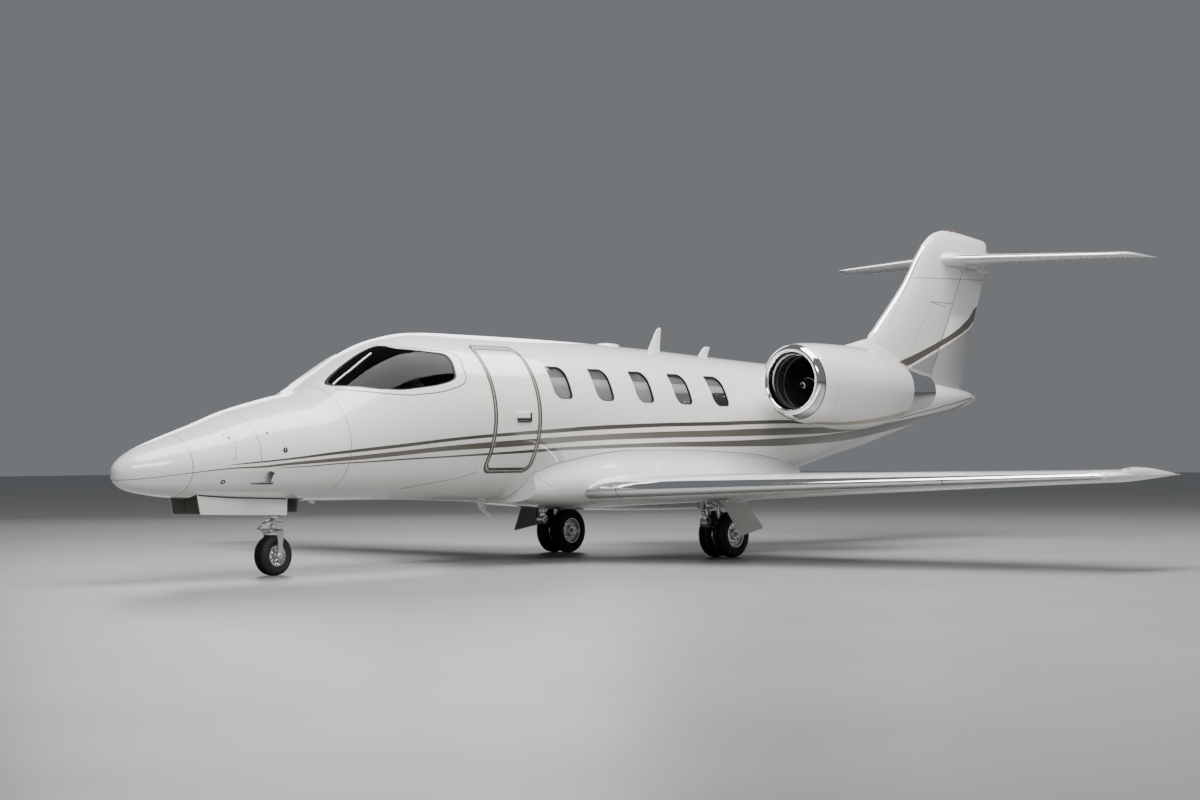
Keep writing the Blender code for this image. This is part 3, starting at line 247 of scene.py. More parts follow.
def new_piece(name, shape, *finishes, sharp=32, bevel=0):
    """A mesh object from a shape, with its faces outwards and its finishes in order."""
    points, face_sets = shape
    mesh = bpy.data.meshes.new(name)
    mesh.from_pydata(points.tolist(), [], [f for faces in face_sets for f in faces.tolist()])
    shell = bmesh.new()
    shell.from_mesh(mesh)
    bmesh.ops.recalc_face_normals(shell, faces=shell.faces)
    shell.to_mesh(mesh)
    shell.free()
    show_edges(mesh, sharp)
    thing = bpy.data.objects.new(name, mesh)
    bpy.context.scene.collection.objects.link(thing)
    for finish in finishes:
        mesh.materials.append(finish)
    if bevel:
        rounder = thing.modifiers.new("rounded edges", "BEVEL")
        rounder.width, rounder.segments = bevel, 2
        rounder.limit_method, rounder.angle_limit = "ANGLE", math.radians(40)
    return thing


def carve(thing, *tools, keep=False, sharp=32):
    """Cut tools out of a piece, or keep only what is inside them. The tools then go."""
    for tool in tools:
        step = thing.modifiers.new(tool.name, "BOOLEAN")
        step.operation = "INTERSECT" if keep else "DIFFERENCE"
        step.solver, step.material_mode, step.object = "EXACT", "TRANSFER", tool
    graph = bpy.context.evaluated_depsgraph_get()
    mesh = bpy.data.meshes.new_from_object(thing.evaluated_get(graph))
    thing.modifiers.clear()
    thing.data = mesh
    show_edges(mesh, sharp)
    for tool in tools:
        bpy.data.objects.remove(tool, do_unlink=True)
    return thing


def settle(thing, node=None, body="airframe"):
    """Ride on a CAD body, and stand for the CAD node that this piece replaces."""
    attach(thing, body)
    if node:
        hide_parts(node)
    made[thing.name] = len(thing.data.polygons)
    return thing


def fit(name, shape, finish, slot="hull_paint", node=None, body="airframe", **look):
    """Make a piece and settle it."""
    return settle(new_piece(name, shape, finish, **look), node, body)


def report(*words):
    """Print the face counts of the pieces whose names hold one of the words."""
    print({name: count for name, count in made.items() if any(word in name for word in words)})

# %% [markdown]
# # Finishes
#
# Business jets wear a pearl white: a pale base with fine flake under a deep clear coat. The base
# scatters softly and the coat mirrors the sky, so one shader with a coat gives both. Bands and panel
# joints are painted lines, and they are worked out from the place on the aircraft, so that a band
# runs on from one panel to the next.

# %% A plain finish
def new_finish(name, colour, roughness, metallic=0, coat=0, grain=0, grain_size=40):
    """A Principled finish whose roughness wanders a little, as on anything that is handled."""
    material = bpy.data.materials.new(name)
    material.use_nodes = True
    tree = material.node_tree
    shader = tree.nodes["Principled BSDF"]
    for socket, value in (("Base Color", (*colour, 1)), ("Roughness", roughness), ("Metallic", metallic),
            ("Coat Weight", coat), ("Coat Roughness", 0.03)):
        shader.inputs[socket].default_value = value
    place, noise, spread = (tree.nodes.new("ShaderNode" + kind) for kind in ("TexCoord", "TexNoise", "MapRange"))
    noise.inputs["Scale"].default_value = grain_size
    spread.inputs["To Min"].default_value = roughness * (1 - grain)
    spread.inputs["To Max"].default_value = roughness * (1 + grain)
    tree.links.new(place.outputs["Object"], noise.inputs["Vector"])
    tree.links.new(noise.outputs["Fac"], spread.inputs["Value"])
    tree.links.new(spread.outputs["Result"], shader.inputs["Roughness"])
    return material

# %% A finish that is painted by place
BAND_LENGTH = 16.6  # stations that the drawn lines cover, from 0
BAND_FOOT, BAND_RISE = 0.8, 2.6  # heights that they cover


class Painter:
    """Lays colours over a finish. A mask is 1 or 0 by the shaded point's station and height."""

    def __init__(self, material):
        self.material, self.tree = material, material.node_tree
        self.base = self.tree.nodes["Principled BSDF"].inputs["Base Color"]
        split = self.tree.nodes.new("ShaderNodeSeparateXYZ")
        self.tree.links.new(self.tree.nodes.new("ShaderNodeTexCoord").outputs["Object"], split.inputs[0])
        self.station = self.reckon("SUBTRACT", NOSE_X, split.outputs["X"])
        self.across, self.height = split.outputs["Y"], split.outputs["Z"]
        self.share = self.reckon("DIVIDE", self.station, BAND_LENGTH)
        self.level = self.reckon("DIVIDE", self.reckon("SUBTRACT", self.height, BAND_FOOT), BAND_RISE)

    def reckon(self, operation, first, second=0):
        """One Math node; each input is a number or the output of another node."""
        step = self.tree.nodes.new("ShaderNodeMath")
        step.operation = operation
        for slot, value in zip(step.inputs, (first, second)):
            if isinstance(value, (int, float)):
                slot.default_value = value
            else:
                self.tree.links.new(value, slot)
        return step.outputs[0]

    def both(self, first, second):
        return self.reckon("MULTIPLY", first, second)

    def lay(self, mask, colour):
        """Lay a colour over what the base colour is so far, where the mask is 1."""
        blend = self.tree.nodes.new("ShaderNodeMix")
        blend.data_type = "RGBA"
        blend.inputs["B"].default_value = (*colour, 1)
        if self.base.is_linked:
            self.tree.links.new(self.base.links[0].from_socket, blend.inputs["A"])
        else:
            blend.inputs["A"].default_value = self.base.default_value
        self.tree.links.new(mask, blend.inputs["Factor"])
        self.tree.links.new(blend.outputs["Result"], self.base)

    def line(self, rows):
        """A drawn line: the height at each station, as a curve through the rows, both as shares."""
        drawn = self.tree.nodes.new("ShaderNodeFloatCurve")
        points = drawn.mapping.curves[0].points
        rows = [(s / BAND_LENGTH, (z - BAND_FOOT) / BAND_RISE) for s, z in rows]
        points[0].location, points[1].location = (0, rows[0][1]), (1, rows[-1][1])
        for s, z in rows:
            points.new(s, z)
        drawn.mapping.update()
        self.tree.links.new(self.share, drawn.inputs["Value"])
        return drawn.outputs["Value"]

    def between(self, upper, lower):
        """1 between two drawn lines."""
        return self.both(self.reckon("LESS_THAN", self.level, self.line(upper)),
            self.reckon("GREATER_THAN", self.level, self.line(lower)))

    def near(self, value, place, half_width):
        """1 within a narrow line about value = place."""
        off = self.reckon("ABSOLUTE", self.reckon("SUBTRACT", value, place))
        return self.reckon("LESS_THAN", off, half_width)

    def seam(self, rows, half_width):
        """1 on a fine line through the rows, from the first station to the last."""
        half_span = (rows[-1][0] - rows[0][0]) / 2
        upper, lower = ([(s, z + shift) for s, z in rows] for shift in (half_width, -half_width))
        return self.both(self.between(upper, lower), self.near(self.station, rows[0][0] + half_span, half_span))

    def stroke(self, start, end, half_width):
        """1 near a straight stroke: |(p - start) x d| < half width and 0 < (p - start) . d < length."""
        run, climb = end[0] - start[0], end[1] - start[1]
        length = math.hypot(run, climb)
        run, climb = run / length, climb / length
        ahead = self.reckon("SUBTRACT", self.station, start[0])
        above = self.reckon("SUBTRACT", self.height, start[1])
        off = self.reckon("SUBTRACT", self.both(ahead, climb), self.both(above, run))
        along = self.reckon("ADD", self.both(ahead, run), self.both(above, climb))
        return self.both(self.near(off, 0, half_width), self.near(along, length / 2, length / 2))

# %% [markdown]
# ## The three taupe bands
#
# The bands start as one hairline at the nose, part behind the radome, run level along the cabin and
# rise with the tail cone. Each is the space between an upper and a lower line of (station, height).

# %% Lines of the fuselage
PEARL = (0.77, 0.766, 0.75)
TAUPE = (0.052, 0.045, 0.036)
LIGHT_TAUPE = (0.086, 0.075, 0.06)
JOINT = (0.1, 0.098, 0.092)
JOINT_HALF, STROKE_HALF, HAIRLINE_HALF = 0.0035, 0.003, 0.007  # half widths of the painted lines

TOP_BAND = ([(1, 1.12), (1.09, 1.131), (1.7, 1.188), (2.24, 1.248), (3.08, 1.325), (3.87, 1.393), (4.76, 1.451),
    (5.46, 1.49), (5.98, 1.52), (6.69, 1.546), (7.44, 1.566), (8.36, 1.583), (9.06, 1.602), (9.8, 1.612), (10.6, 1.605),
    (11.6, 1.6), (12.2, 1.62)], [(1, 1.12), (1.09, 1.124), (1.7, 1.17), (2.24, 1.219), (3.08, 1.289), (3.87, 1.359),
    (4.76, 1.413), (5.46, 1.445), (5.98, 1.472), (6.69, 1.498), (7.44, 1.521), (8.36, 1.537), (9.06, 1.556),
    (9.8, 1.57), (10.6, 1.567), (11.6, 1.575), (12.2, 1.62)])
MIDDLE_BAND = ([(0.03, 0.991), (0.259, 1.011), (0.652, 1.055), (1.092, 1.099), (1.395, 1.113), (1.62, 1.135),
    (2.05, 1.171), (2.66, 1.219), (3.09, 1.254), (3.61, 1.294), (4.43, 1.346), (5.08, 1.379), (5.99, 1.42),
    (6.71, 1.446), (7.45, 1.465), (8.37, 1.482), (9.06, 1.502), (9.8, 1.516), (10.78, 1.53), (11.6, 1.545),
    (12.6, 1.64)], [(0.03, 0.984), (0.259, 1.004), (0.652, 1.047), (1.093, 1.086), (1.398, 1.094), (1.625, 1.111),
    (2.05, 1.136), (2.67, 1.174), (3.11, 1.206), (3.63, 1.244), (4.45, 1.279), (5.1, 1.309), (6.01, 1.355),
    (6.72, 1.375), (7.47, 1.391), (8.38, 1.404), (9.08, 1.415), (9.82, 1.43), (10.82, 1.455), (11.6, 1.5),
    (12.6, 1.64)])
LOW_BAND = ([(1.55, 1.09), (1.63, 1.096), (1.93, 1.11), (2.26, 1.132), (2.68, 1.151), (3.12, 1.174), (3.8, 1.2),
    (4.47, 1.23), (5.12, 1.262), (5.52, 1.283), (6.03, 1.302), (6.74, 1.323), (7.48, 1.341), (8.4, 1.353),
    (8.86, 1.363), (9.58, 1.385), (10.4, 1.414), (11.35, 1.475), (12.34, 1.575), (13.31, 1.668), (14.17, 1.756),
    (14.61, 1.808), (15, 1.88), (15.34, 1.955), (15.56, 1.99)], [(1.55, 1.09), (1.63, 1.09), (1.93, 1.1), (2.26, 1.12),
    (2.69, 1.137), (3.13, 1.157), (3.81, 1.182), (4.49, 1.206), (5.14, 1.23), (5.53, 1.247), (6.05, 1.262),
    (6.76, 1.278), (7.51, 1.284), (8.42, 1.285), (8.88, 1.287), (9.62, 1.293), (10.47, 1.318), (11.48, 1.366),
    (12.52, 1.47), (13.56, 1.579), (14.07, 1.635), (14.42, 1.693), (14.82, 1.768), (15.34, 1.95), (15.56, 1.99)])
TAIL_HAIRLINE = [(12.65, 1.642), (13.26, 1.708), (13.67, 1.759), (14.09, 1.811), (14.51, 1.867), (14.95, 1.923),
    (15.38, 1.974)]
HULL_JOINTS = (0.66, 2.42)
NOSE_JOINT, NOSE_JOINT_FOOT = 1.38, 1.16  # this one stops at the bands
FAIRING_SEAM = [(5.25, 1.012), (5.467, 1.079), (5.685, 1.127), (5.917, 1.164), (6.237, 1.208), (6.574, 1.24), (7, 1.25),
    (7.6, 1.248), (8.2, 1.236), (8.8, 1.212), (9.3, 1.18), (9.8, 1.13)]
BELLY_LINE = [(3.384, 0.861), (3.628, 0.894), (3.882, 0.928), (4.14, 0.967), (4.341, 1.013)]
PANEL_LINES = (((1.125, 1.307), (1.099, 1.162)), ((4.341, 1.013), (4.321, 1.061)), ((5.24, 1.015), (5.323, 0.926)),
    ((5.323, 0.926), (5.43, 0.847)))

# %% Paint the fuselage
def pearl_paint(name):
    return new_finish(name, PEARL, 0.3, coat=1, grain=0.06, grain_size=3)


def belly_painter(name):
    """Pearl with the fine joints that run along the wing fairing and the belly."""
    paint = Painter(pearl_paint(name))
    for rows in (FAIRING_SEAM, BELLY_LINE):
        paint.lay(paint.seam(rows, JOINT_HALF), JOINT)
    for start, end in PANEL_LINES:
        paint.lay(paint.stroke(start, end, STROKE_HALF), JOINT)
    return paint


def paint_hull():
    paint = belly_painter("hull_pearl_with_bands")
    for band, colour in ((TOP_BAND, TAUPE), (LOW_BAND, TAUPE), (MIDDLE_BAND, LIGHT_TAUPE)):
        paint.lay(paint.between(*band), colour)
    paint.lay(paint.seam(TAIL_HAIRLINE, HAIRLINE_HALF), (0.02, 0.02, 0.02))
    for place in HULL_JOINTS:
        paint.lay(paint.near(paint.station, place, JOINT_HALF), JOINT)
    over_bands = paint.reckon("GREATER_THAN", paint.height, NOSE_JOINT_FOOT)
    paint.lay(paint.both(paint.near(paint.station, NOSE_JOINT, JOINT_HALF), over_bands), JOINT)
    return paint.material


hull_paint = paint_hull()
fairing_paint = belly_painter("fairing_pearl").material
plain_pearl = pearl_paint("pearl")
print("hull paint nodes", len(hull_paint.node_tree.nodes))

# %% [markdown]
# ## Fin, cowl and the small finishes
#
# A single band climbs the fin, with darker grey paint under it, and a gold line underlines each
# cowl. The rest is metal, rubber, glass and cloth.

# %% Paint the fin and the cowls
FIN_BAND = ([(12.7, 2.27), (13.2, 2.392), (13.419, 2.448), (13.987, 2.602), (14.512, 2.758), (14.99, 2.914),
    (15.417, 3.119), (15.8, 3.33)], [(12.7, 2.27), (13.2, 2.294), (13.615, 2.386), (14.102, 2.538), (14.54, 2.676),
    (14.988, 2.818), (15.415, 2.976), (15.8, 3.155)])
FIN_FIELD = [(13.2, 2.248), (13.671, 2.368), (14.54, 2.642), (15.415, 2.948), (15.8, 3.115)]
COWL_BAND = ([(9.3, 1.562), (9.373, 1.574), (9.743, 1.576), (10, 1.592), (10.463, 1.645), (11.208, 1.741),
    (11.4, 1.762)], [(9.3, 1.56), (9.488, 1.551), (9.832, 1.541), (10.241, 1.56), (10.747, 1.61), (11.273, 1.69),
    (11.4, 1.715)])
FIN_FOOT_GREY = (0.27, 0.275, 0.275)
GOLD_TAUPE = (0.255, 0.225, 0.15)
FIN_LINES = (  # start, end, half width, as (station, height) on the fin's side
    ((13.829, 3.599), (13.202, 2.911), 0.003), ((14.256, 3.262), (13.673, 2.558), 0.003), ((14.268, 3.306),
    (14.875, 3.301), 0.005), ((14.268, 3.3), (14.696, 3.249), 0.005), ((15.183, 3.787), (14.271, 2.263), 0.007))


def paint_fin():
    paint = Painter(pearl_paint("fin_pearl_with_band"))
    # Below FIN_FIELD the fin and rudder are painted a darker grey
    paint.lay(paint.between(FIN_FIELD, [(s, 0.81) for s, _ in FIN_FIELD]), FIN_FOOT_GREY)
    paint.lay(paint.between(*FIN_BAND), LIGHT_TAUPE)
    climbing = paint.reckon("SUBTRACT", paint.height, paint.both(paint.station, 0.034))
    paint.lay(paint.near(climbing, 3.151, 0.004), JOINT)
    for start, end, half_width in FIN_LINES:
        paint.lay(paint.stroke(start, end, half_width), JOINT)
    return paint.material


def paint_cowl():
    paint = Painter(pearl_paint("cowl_pearl_with_line"))
    paint.lay(paint.between(*COWL_BAND), GOLD_TAUPE)
    canted = paint.reckon("ADD", paint.station, paint.both(paint.height, 0.253))
    paint.lay(paint.near(canted, 9.853, 0.003), (0.42, 0.41, 0.4))
    return paint.material


def polished(name):
    return new_finish(name, (0.86, 0.865, 0.87), 0.07, metallic=1, grain=0.25, grain_size=6)


def edge_metal():
    """Polished leading edge in three lengths, parted by two fine joints across the span."""
    paint = Painter(polished("wing_edge_metal"))
    for place in (1.22, 4.86):
        paint.lay(paint.near(paint.reckon("ABSOLUTE", paint.across), place, 0.004), JOINT)
    return paint.material


fin_paint = paint_fin()
wing_edge = edge_metal()
cowl_paint = paint_cowl()
chrome = polished("polished_aluminium")

# %% Metal, rubber and cloth
band_paint = new_finish("taupe_paint", TAUPE, 0.32, coat=0.6, grain=0.1)
joint_paint = new_finish("joint_sealant", JOINT, 0.5, grain=0.1)
brushed = new_finish("gear_metal", (0.74, 0.74, 0.73), 0.24, metallic=0.95, grain=0.3, grain_size=30)
grey_metal = new_finish("cast_grey_metal", (0.3, 0.3, 0.295), 0.45, metallic=0.7, grain=0.3, grain_size=30)
probe_metal = new_finish("probe_metal", (0.045, 0.045, 0.046), 0.42, metallic=0.4, grain=0.3)
dark_metal = new_finish("dark_duct_metal", (0.03, 0.03, 0.032), 0.38, metallic=0.4, grain=0.2)
blade_metal = new_finish("fan_titanium", (0.1, 0.1, 0.105), 0.34, metallic=0.85, grain=0.2)
primer = new_finish("bay_primer", (0.11, 0.112, 0.1), 0.6, grain=0.15, grain_size=12)
seal_black = new_finish("window_seal", (0.012, 0.012, 0.013), 0.45, grain=0.1)
tyre_rubber = new_finish("tyre_rubber", (0.013, 0.013, 0.014), 0.72, grain=0.12, grain_size=60)
leather = new_finish("cream_leather", (0.42, 0.36, 0.27), 0.5, grain=0.2, grain_size=120)
dark_trim = new_finish("dark_trim", (0.035, 0.035, 0.037), 0.6, grain=0.2, grain_size=80)
carpet = new_finish("cabin_carpet", (0.16, 0.14, 0.115), 0.95, grain=0.1, grain_size=150)
lining = new_finish("cabin_lining", (0.55, 0.53, 0.48), 0.7, grain=0.1, grain_size=20)
# Grey for the main gear door liners; on the flap, aileron and elevator coves, which are white, this grey is painted
# shade
liner_grey_and_cove_shade = new_finish("gear_liner_grey_and_cove_shade", (0.34, 0.335, 0.32), 0.42, coat=0.3, grain=0.1, grain_size=8)
lens_white = new_finish("recognition_lens", (0.86, 0.87, 0.88), 0.12, coat=0.8, grain=0.1)
screen_glass = new_finish("screen_glass", (0.012, 0.014, 0.018), 0.08, coat=0.5, grain=0.1)

# %% Glass and shades
def new_glass(name, tint, bend=1.45):
    """Tinted glass: light passes through and takes the tint on the way."""
    material = new_finish(name, tint, 0.02, grain=0.1)
    shader = material.node_tree.nodes["Principled BSDF"]
    shader.inputs["Transmission Weight"].default_value = 1
    shader.inputs["IOR"].default_value = bend
    return material


SHADE_FOOT, SHADE_DEPTH, SHADE_SLOPE = 1.911, 0.364, 0.0174  # the shades step down with the windows
# From the foot (0) to the top (1) of the shade: the bright band from 0.52 to 0.652 is a painted reflection of the sky
# on the glass, laid on the cloth
SHADE_AND_REFLECTION_GREYS = [(0, 0.52), (0.36, 0.56), (0.52, 0.92), (0.652, 0.92), (0.672, 0.33), (1, 0.27)]
SHADE_FEET = ((7.4, 0.135, (0.27, 0.27, 0.265)), (8.1, 0.165, (0.075, 0.075, 0.075)))


def paint_shade_and_reflection():
    """Shade cloth behind a cabin window: a dark header, a bright middle band that is a painted reflection of the sky,
    and a grey foot.
    """
    paint = Painter(new_finish("window_shade_painted_reflection", (0.44, 0.44, 0.435), 0.8, grain=0.1, grain_size=20))
    level = paint.reckon("ADD", paint.height, paint.both(paint.station, SHADE_SLOPE))
    ramp = paint.tree.nodes.new("ShaderNodeValToRGB")
    stops = ramp.color_ramp.elements
    for stop, (place, grey) in zip(stops, (SHADE_AND_REFLECTION_GREYS[0], SHADE_AND_REFLECTION_GREYS[-1])):
        stop.position, stop.color = place, (grey, grey, grey, 1)
    for place, grey in SHADE_AND_REFLECTION_GREYS[1:-1]:
        stops.new(place).color = (grey, grey, grey, 1)
    share = paint.reckon("DIVIDE", paint.reckon("SUBTRACT", level, SHADE_FOOT), SHADE_DEPTH)
    paint.tree.links.new(share, ramp.inputs["Fac"])
    paint.tree.links.new(ramp.outputs["Color"], paint.base)
    for after, rise, colour in SHADE_FEET:
        low = paint.reckon("LESS_THAN", level, SHADE_FOOT + rise)
        paint.lay(paint.both(low, paint.reckon("GREATER_THAN", paint.station, after)), colour)
    return paint.material


# The cloth's bright band is a painted reflection of the sky
painted_reflection_shade = paint_shade_and_reflection()
cockpit_glass = new_glass("cockpit_glass", (0.14, 0.135, 0.15), bend=1.18)
cabin_glass = new_glass("cabin_glass", (0.62, 0.625, 0.635), bend=1.25)
lamp_glass = new_glass("lamp_glass", (0.9, 0.92, 0.95))
red_glass = new_glass("red_lamp_glass", (0.6, 0.02, 0.02))
green_glass = new_glass("green_lamp_glass", (0.02, 0.45, 0.1))
print("finishes", len(bpy.data.materials))

# %% [markdown]
# # Fuselage
#
# The skin is a run of round frames: at each station the belly, the crown, the half width and the
# height of the widest place give two half ellipses. Rings this fine look round from nearby, and the
# light on them is steadier still when each point's normal comes from the formula, not the facets.

# %% Fuselage frames
HULL = floats([  # station, belly height, crown height, half width, height of the widest place
    (0, 1.04, 1.07, 0.015, 1.055), (0.012, 0.995, 1.108, 0.055, 1.055), (0.05, 0.945, 1.155, 0.105, 1.055),
    (0.15, 0.892, 1.228, 0.185, 1.06), (0.35, 0.848, 1.317, 0.28, 1.075), (0.66, 0.811, 1.42, 0.382, 1.1),
    (1.05, 0.787, 1.542, 0.48, 1.135), (1.43, 0.773, 1.668, 0.565, 1.175), (2, 0.758, 1.803, 0.67, 1.235),
    (2.23, 0.753, 1.85, 0.705, 1.26), (2.42, 0.75, 1.935, 0.733, 1.3), (2.64, 0.747, 2.053, 0.765, 1.34),
    (3.11, 0.741, 2.299, 0.82, 1.43), (3.52, 0.738, 2.445, 0.85, 1.51), (3.95, 0.73, 2.517, 0.868, 1.57),
    (4.3, 0.718, 2.528, 0.875, 1.605), (5.24, 0.692, 2.523, 0.875, 1.61), (6.32, 0.69, 2.508, 0.875, 1.605),
    (7.6, 0.69, 2.47, 0.875, 1.595), (8.98, 0.695, 2.407, 0.869, 1.58), (9.84, 0.768, 2.368, 0.85, 1.6),
    (10.65, 0.94, 2.335, 0.79, 1.66), (11.47, 1.11, 2.31, 0.7, 1.74), (12.45, 1.285, 2.29, 0.57, 1.815),
    (13.2, 1.443, 2.265, 0.46, 1.875), (13.84, 1.575, 2.225, 0.365, 1.915), (14.57, 1.718, 2.165, 0.255, 1.95),
    (15.32, 1.858, 2.075, 0.11, 1.975), (15.56, 1.925, 2.01, 0.03, 1.97)])
TAIL_END = 15.56
CABIN_WALL, AFT_WALL = 0.06, 0.03
SEAT_GAP = 0.0003  # between one length of the fuselage and the next
ring = round_angles(96)


def hull_at(station, angle, inset=0):
    """Points of the skin, or of a skin inside it: y = w cos a, z = m + rise sin a, 0 at port."""
    belly, crown, half, middle = at_rows(HULL, np.ravel(station)).T.reshape(4, *np.shape(station))
    rise = np.where(np.sin(angle) > 0, crown - middle, middle - belly)
    return placed(station, (half - inset) * np.cos(angle), middle + (rise - inset) * np.sin(angle))


def hull_grid(stations, angles, inset=0):
    return hull_at(*np.meshgrid(stations, angles, indexing="ij"), inset)


def hull_tube(stations, wall):
    """A length of the fuselage as a wall."""
    return walled(hull_grid(stations, ring), hull_grid(stations, ring, wall))


def frame_sizes(station, height):
    """Rise towards the crown or the belly, half width and widest height of the frame at a point."""
    belly, crown, half, middle = at_rows(HULL, station).T
    return np.where(height > middle, crown - middle, middle - belly), half, middle


def hull_measure(points):
    """Below 1 inside the skin, 1 on it, above 1 outside: (y/w)^2 + ((z-m)/rise)^2."""
    rise, half, middle = frame_sizes(np.clip(NOSE_X - points[:, 0], 0, TAIL_END), points[:, 2])
    return (points[:, 1] / half) ** 2 + ((points[:, 2] - middle) / rise) ** 2


def hull_normals(points):
    """Outward directions on the skin: the slope of the measure along X, Y and Z."""
    step = 0.002
    slopes = [hull_measure(points + step * axis) - hull_measure(points - step * axis) for axis in np.eye(3)]
    return unit(np.stack(slopes, axis=-1))


def onto_hull(points):
    """Move points near the skin onto it, at the angle of their frame."""
    station = NOSE_X - points[:, 0]
    rise, half, middle = frame_sizes(station, points[:, 2])
    return hull_at(station, np.arctan2((points[:, 2] - middle) / rise, points[:, 1] / half))


def hull_side(station, height, inset=0):
    """Distance to the side of the skin at a height."""
    rise, half, middle = frame_sizes(station, height)
    return (half - inset) * np.sqrt(np.maximum(0, 1 - ((height - middle) / (rise - inset)) ** 2))


print("frame at the door", [round(float(v), 3) for v in at_rows(HULL, 4.8)[0]])

# %% Lining and true normals
CABIN_MIDDLE = (0, 0, 1.6)


def read_mesh(items, key, width=1, kind=float):
    """One attribute of all vertices, corners or faces of a mesh."""
    values = np.empty(len(items) * width, kind)
    items.foreach_get(key, values)
    return values.reshape(-1, width) if width > 1 else values


def line_inside(thing):
    """Give the cabin's finish to the faces of a wall that look at the middle of the hull."""
    mesh = thing.data
    if lining.name not in mesh.materials:
        mesh.materials.append(lining)
    index = read_mesh(mesh.polygons, "material_index", 1, np.int32)
    reach = read_mesh(mesh.polygons, "center", 3) - CABIN_MIDDLE
    outward = np.sum(reach[:, 1:] * read_mesh(mesh.polygons, "normal", 3)[:, 1:], axis=1)
    index[outward < -0.3] = mesh.materials.find(lining.name)
    mesh.polygons.foreach_set("material_index", index)


def polish_normals(thing):
    """Give each face corner on a skin the formula's direction; cut edges keep the face's own."""
    mesh = thing.data
    corner = read_mesh(mesh.loops, "vertex_index", 1, int)
    flat = np.repeat(read_mesh(mesh.polygons, "normal", 3), read_mesh(mesh.polygons, "loop_total", 1, int), axis=0)
    smooth = hull_normals(read_mesh(mesh.vertices, "co", 3))[corner]
    lean = np.sum(flat * smooth, axis=1)[:, None]
    mesh.normals_split_custom_set(np.where(lean > 0.9, smooth, np.where(lean < -0.9, -smooth, flat)).tolist())


def settle_skin(thing, node, body="airframe", lined=False):
    """Finish a length of the fuselage: lining inside, true normals outside."""
    if lined:
        line_inside(thing)
    polish_normals(thing)
    return settle(thing, node, body)

# %% [markdown]
# ## Nose
#
# The radome is a separate moulding, closed at the tip. Behind it is the nose with the bay that the
# front wheel folds into: a box cut up from the belly, painted with dull primer inside.

# %% Radome and nose
RADOME_END, NOSE_END, COCKPIT_END, DOORWAY_END, CABIN_END, AFT_END = 0.66, 2.42, 4.3, 5.24, 8.98, 13.2
BAY_LOW, BAY_HIGH = (NOSE_X - 2.28, -0.21, 0.5), (NOSE_X - 0.84, 0.21, 1.1)

radome = new_piece("radome_skin", lofted(hull_grid(RADOME_END * np.linspace(0, 1, 30) ** 2, ring)), hull_paint)
nose = new_piece("nose_skin", lofted(hull_grid(np.linspace(RADOME_END + SEAT_GAP, NOSE_END, 28), ring)), hull_paint)
carve(nose, new_piece("bay cutter", box(BAY_LOW, BAY_HIGH), primer))
settle_skin(radome, "radome")
settle_skin(nose, "nose_section")
report("radome", "nose")

# %% [markdown]
# ## Outlines for windows and doors
#
# Each opening is an outline with rounded corners, drawn through the wall. The pane, its black seal
# and the hole come from the same outline, so they fit.

# %% Rounded outlines and skin patches
def rounded(corners, radii, steps=8):
    """A polygon whose corners are arcs: each arc's centre is its radius away from both sides."""
    outline = []
    for i, radius in enumerate(radii):
        here, before, after = floats([corners[i], corners[i - 1], corners[(i + 1) % len(corners)]])
        back, on = unit(before - here), unit(after - here)
        half = math.acos(float(np.clip(back @ on, -1, 1))) / 2
        centre = here + unit(back + on) * radius / math.sin(half)
        first, last = (here + arm * radius / math.tan(half) - centre for arm in (back, on))
        t = np.linspace(0, 1, steps + 1)[:, None]
        outline.append(centre + radius * unit(first * (1 - t) + last * t))
    return np.concatenate(outline)


def shrunk(outline, by):
    """The outline moved inwards: each point along the mean of its two sides' normals."""
    ahead = unit(np.roll(outline, -1, axis=0) - outline)
    tangent = unit(ahead + np.roll(ahead, 1, axis=0))
    inward = np.stack([-tangent[:, 1], tangent[:, 0]], axis=-1)
    turn = np.sign(np.sum(inward * (outline.mean(axis=0) - outline), axis=1).sum())
    return outline + by * turn * inward


def side_prism(outline, side, near=0.42, far=1.1):
    """An outline of (station, height), drawn across one side of the aircraft."""
    return prism(placed(outline[:, 0], side * near, outline[:, 1]), (0, side * (far - near), 0))


def skin_patch(stations, degrees, side, inset_out, inset_in):
    """A slab that follows the skin between two depths."""
    angles = np.radians(degrees) if side > 0 else math.pi - np.radians(degrees)
    return slab(hull_grid(stations, angles, inset_out), hull_grid(stations, angles, inset_in))


def kept_patch(name, patch, finish, keeper):
    """What of a skin patch lies inside a keeper shape."""
    return carve(new_piece(name, patch, finish), new_piece("keeper", keeper, finish), keep=True)


def closed_curve(points, steps=10):
    """A closed Catmull-Rom curve through points."""
    p0, p1, p2, p3 = (np.roll(points, k, axis=0)[:, None] for k in (1, 0, -1, -2))
    t = np.linspace(0, 1, steps, endpoint=False)[None, :, None]
    curve = 0.5 * (2 * p1 + (p2 - p0) * t + (2 * p0 - 5 * p1 + 4 * p2 - p3) * t ** 2
        + (3 * p1 - p0 - 3 * p2 + p3) * t ** 3)
    return curve.reshape(-1, points.shape[1])


def skin_ribbon(points, width, proud, closed=True, sunk=0.004):
    """A flat strip laid on the skin along a path: its profile is a low step with sloped sides."""
    path = onto_hull(points)
    normal = hull_normals(path)
    along = unit(np.roll(path, -1, axis=0) - np.roll(path, 1, axis=0) if closed else np.gradient(path, axis=0))
    half = width / 2
    profile = [(-half, -sunk), (half, -sunk), (half, proud * 0.4), (half - proud, proud), (proud - half, proud),
        (-half, proud * 0.4)]
    return swept(path, unit(np.cross(normal, along)), normal, profile, closed)

# %% [markdown]
# ## Cockpit
#
# One curved pane a side wraps from the centre post to behind the pilot. It lies a little under the
# skin in a black seal, inside a raised white frame with a thin joint round it, and a slim post
# divides the front glass from the side glass.

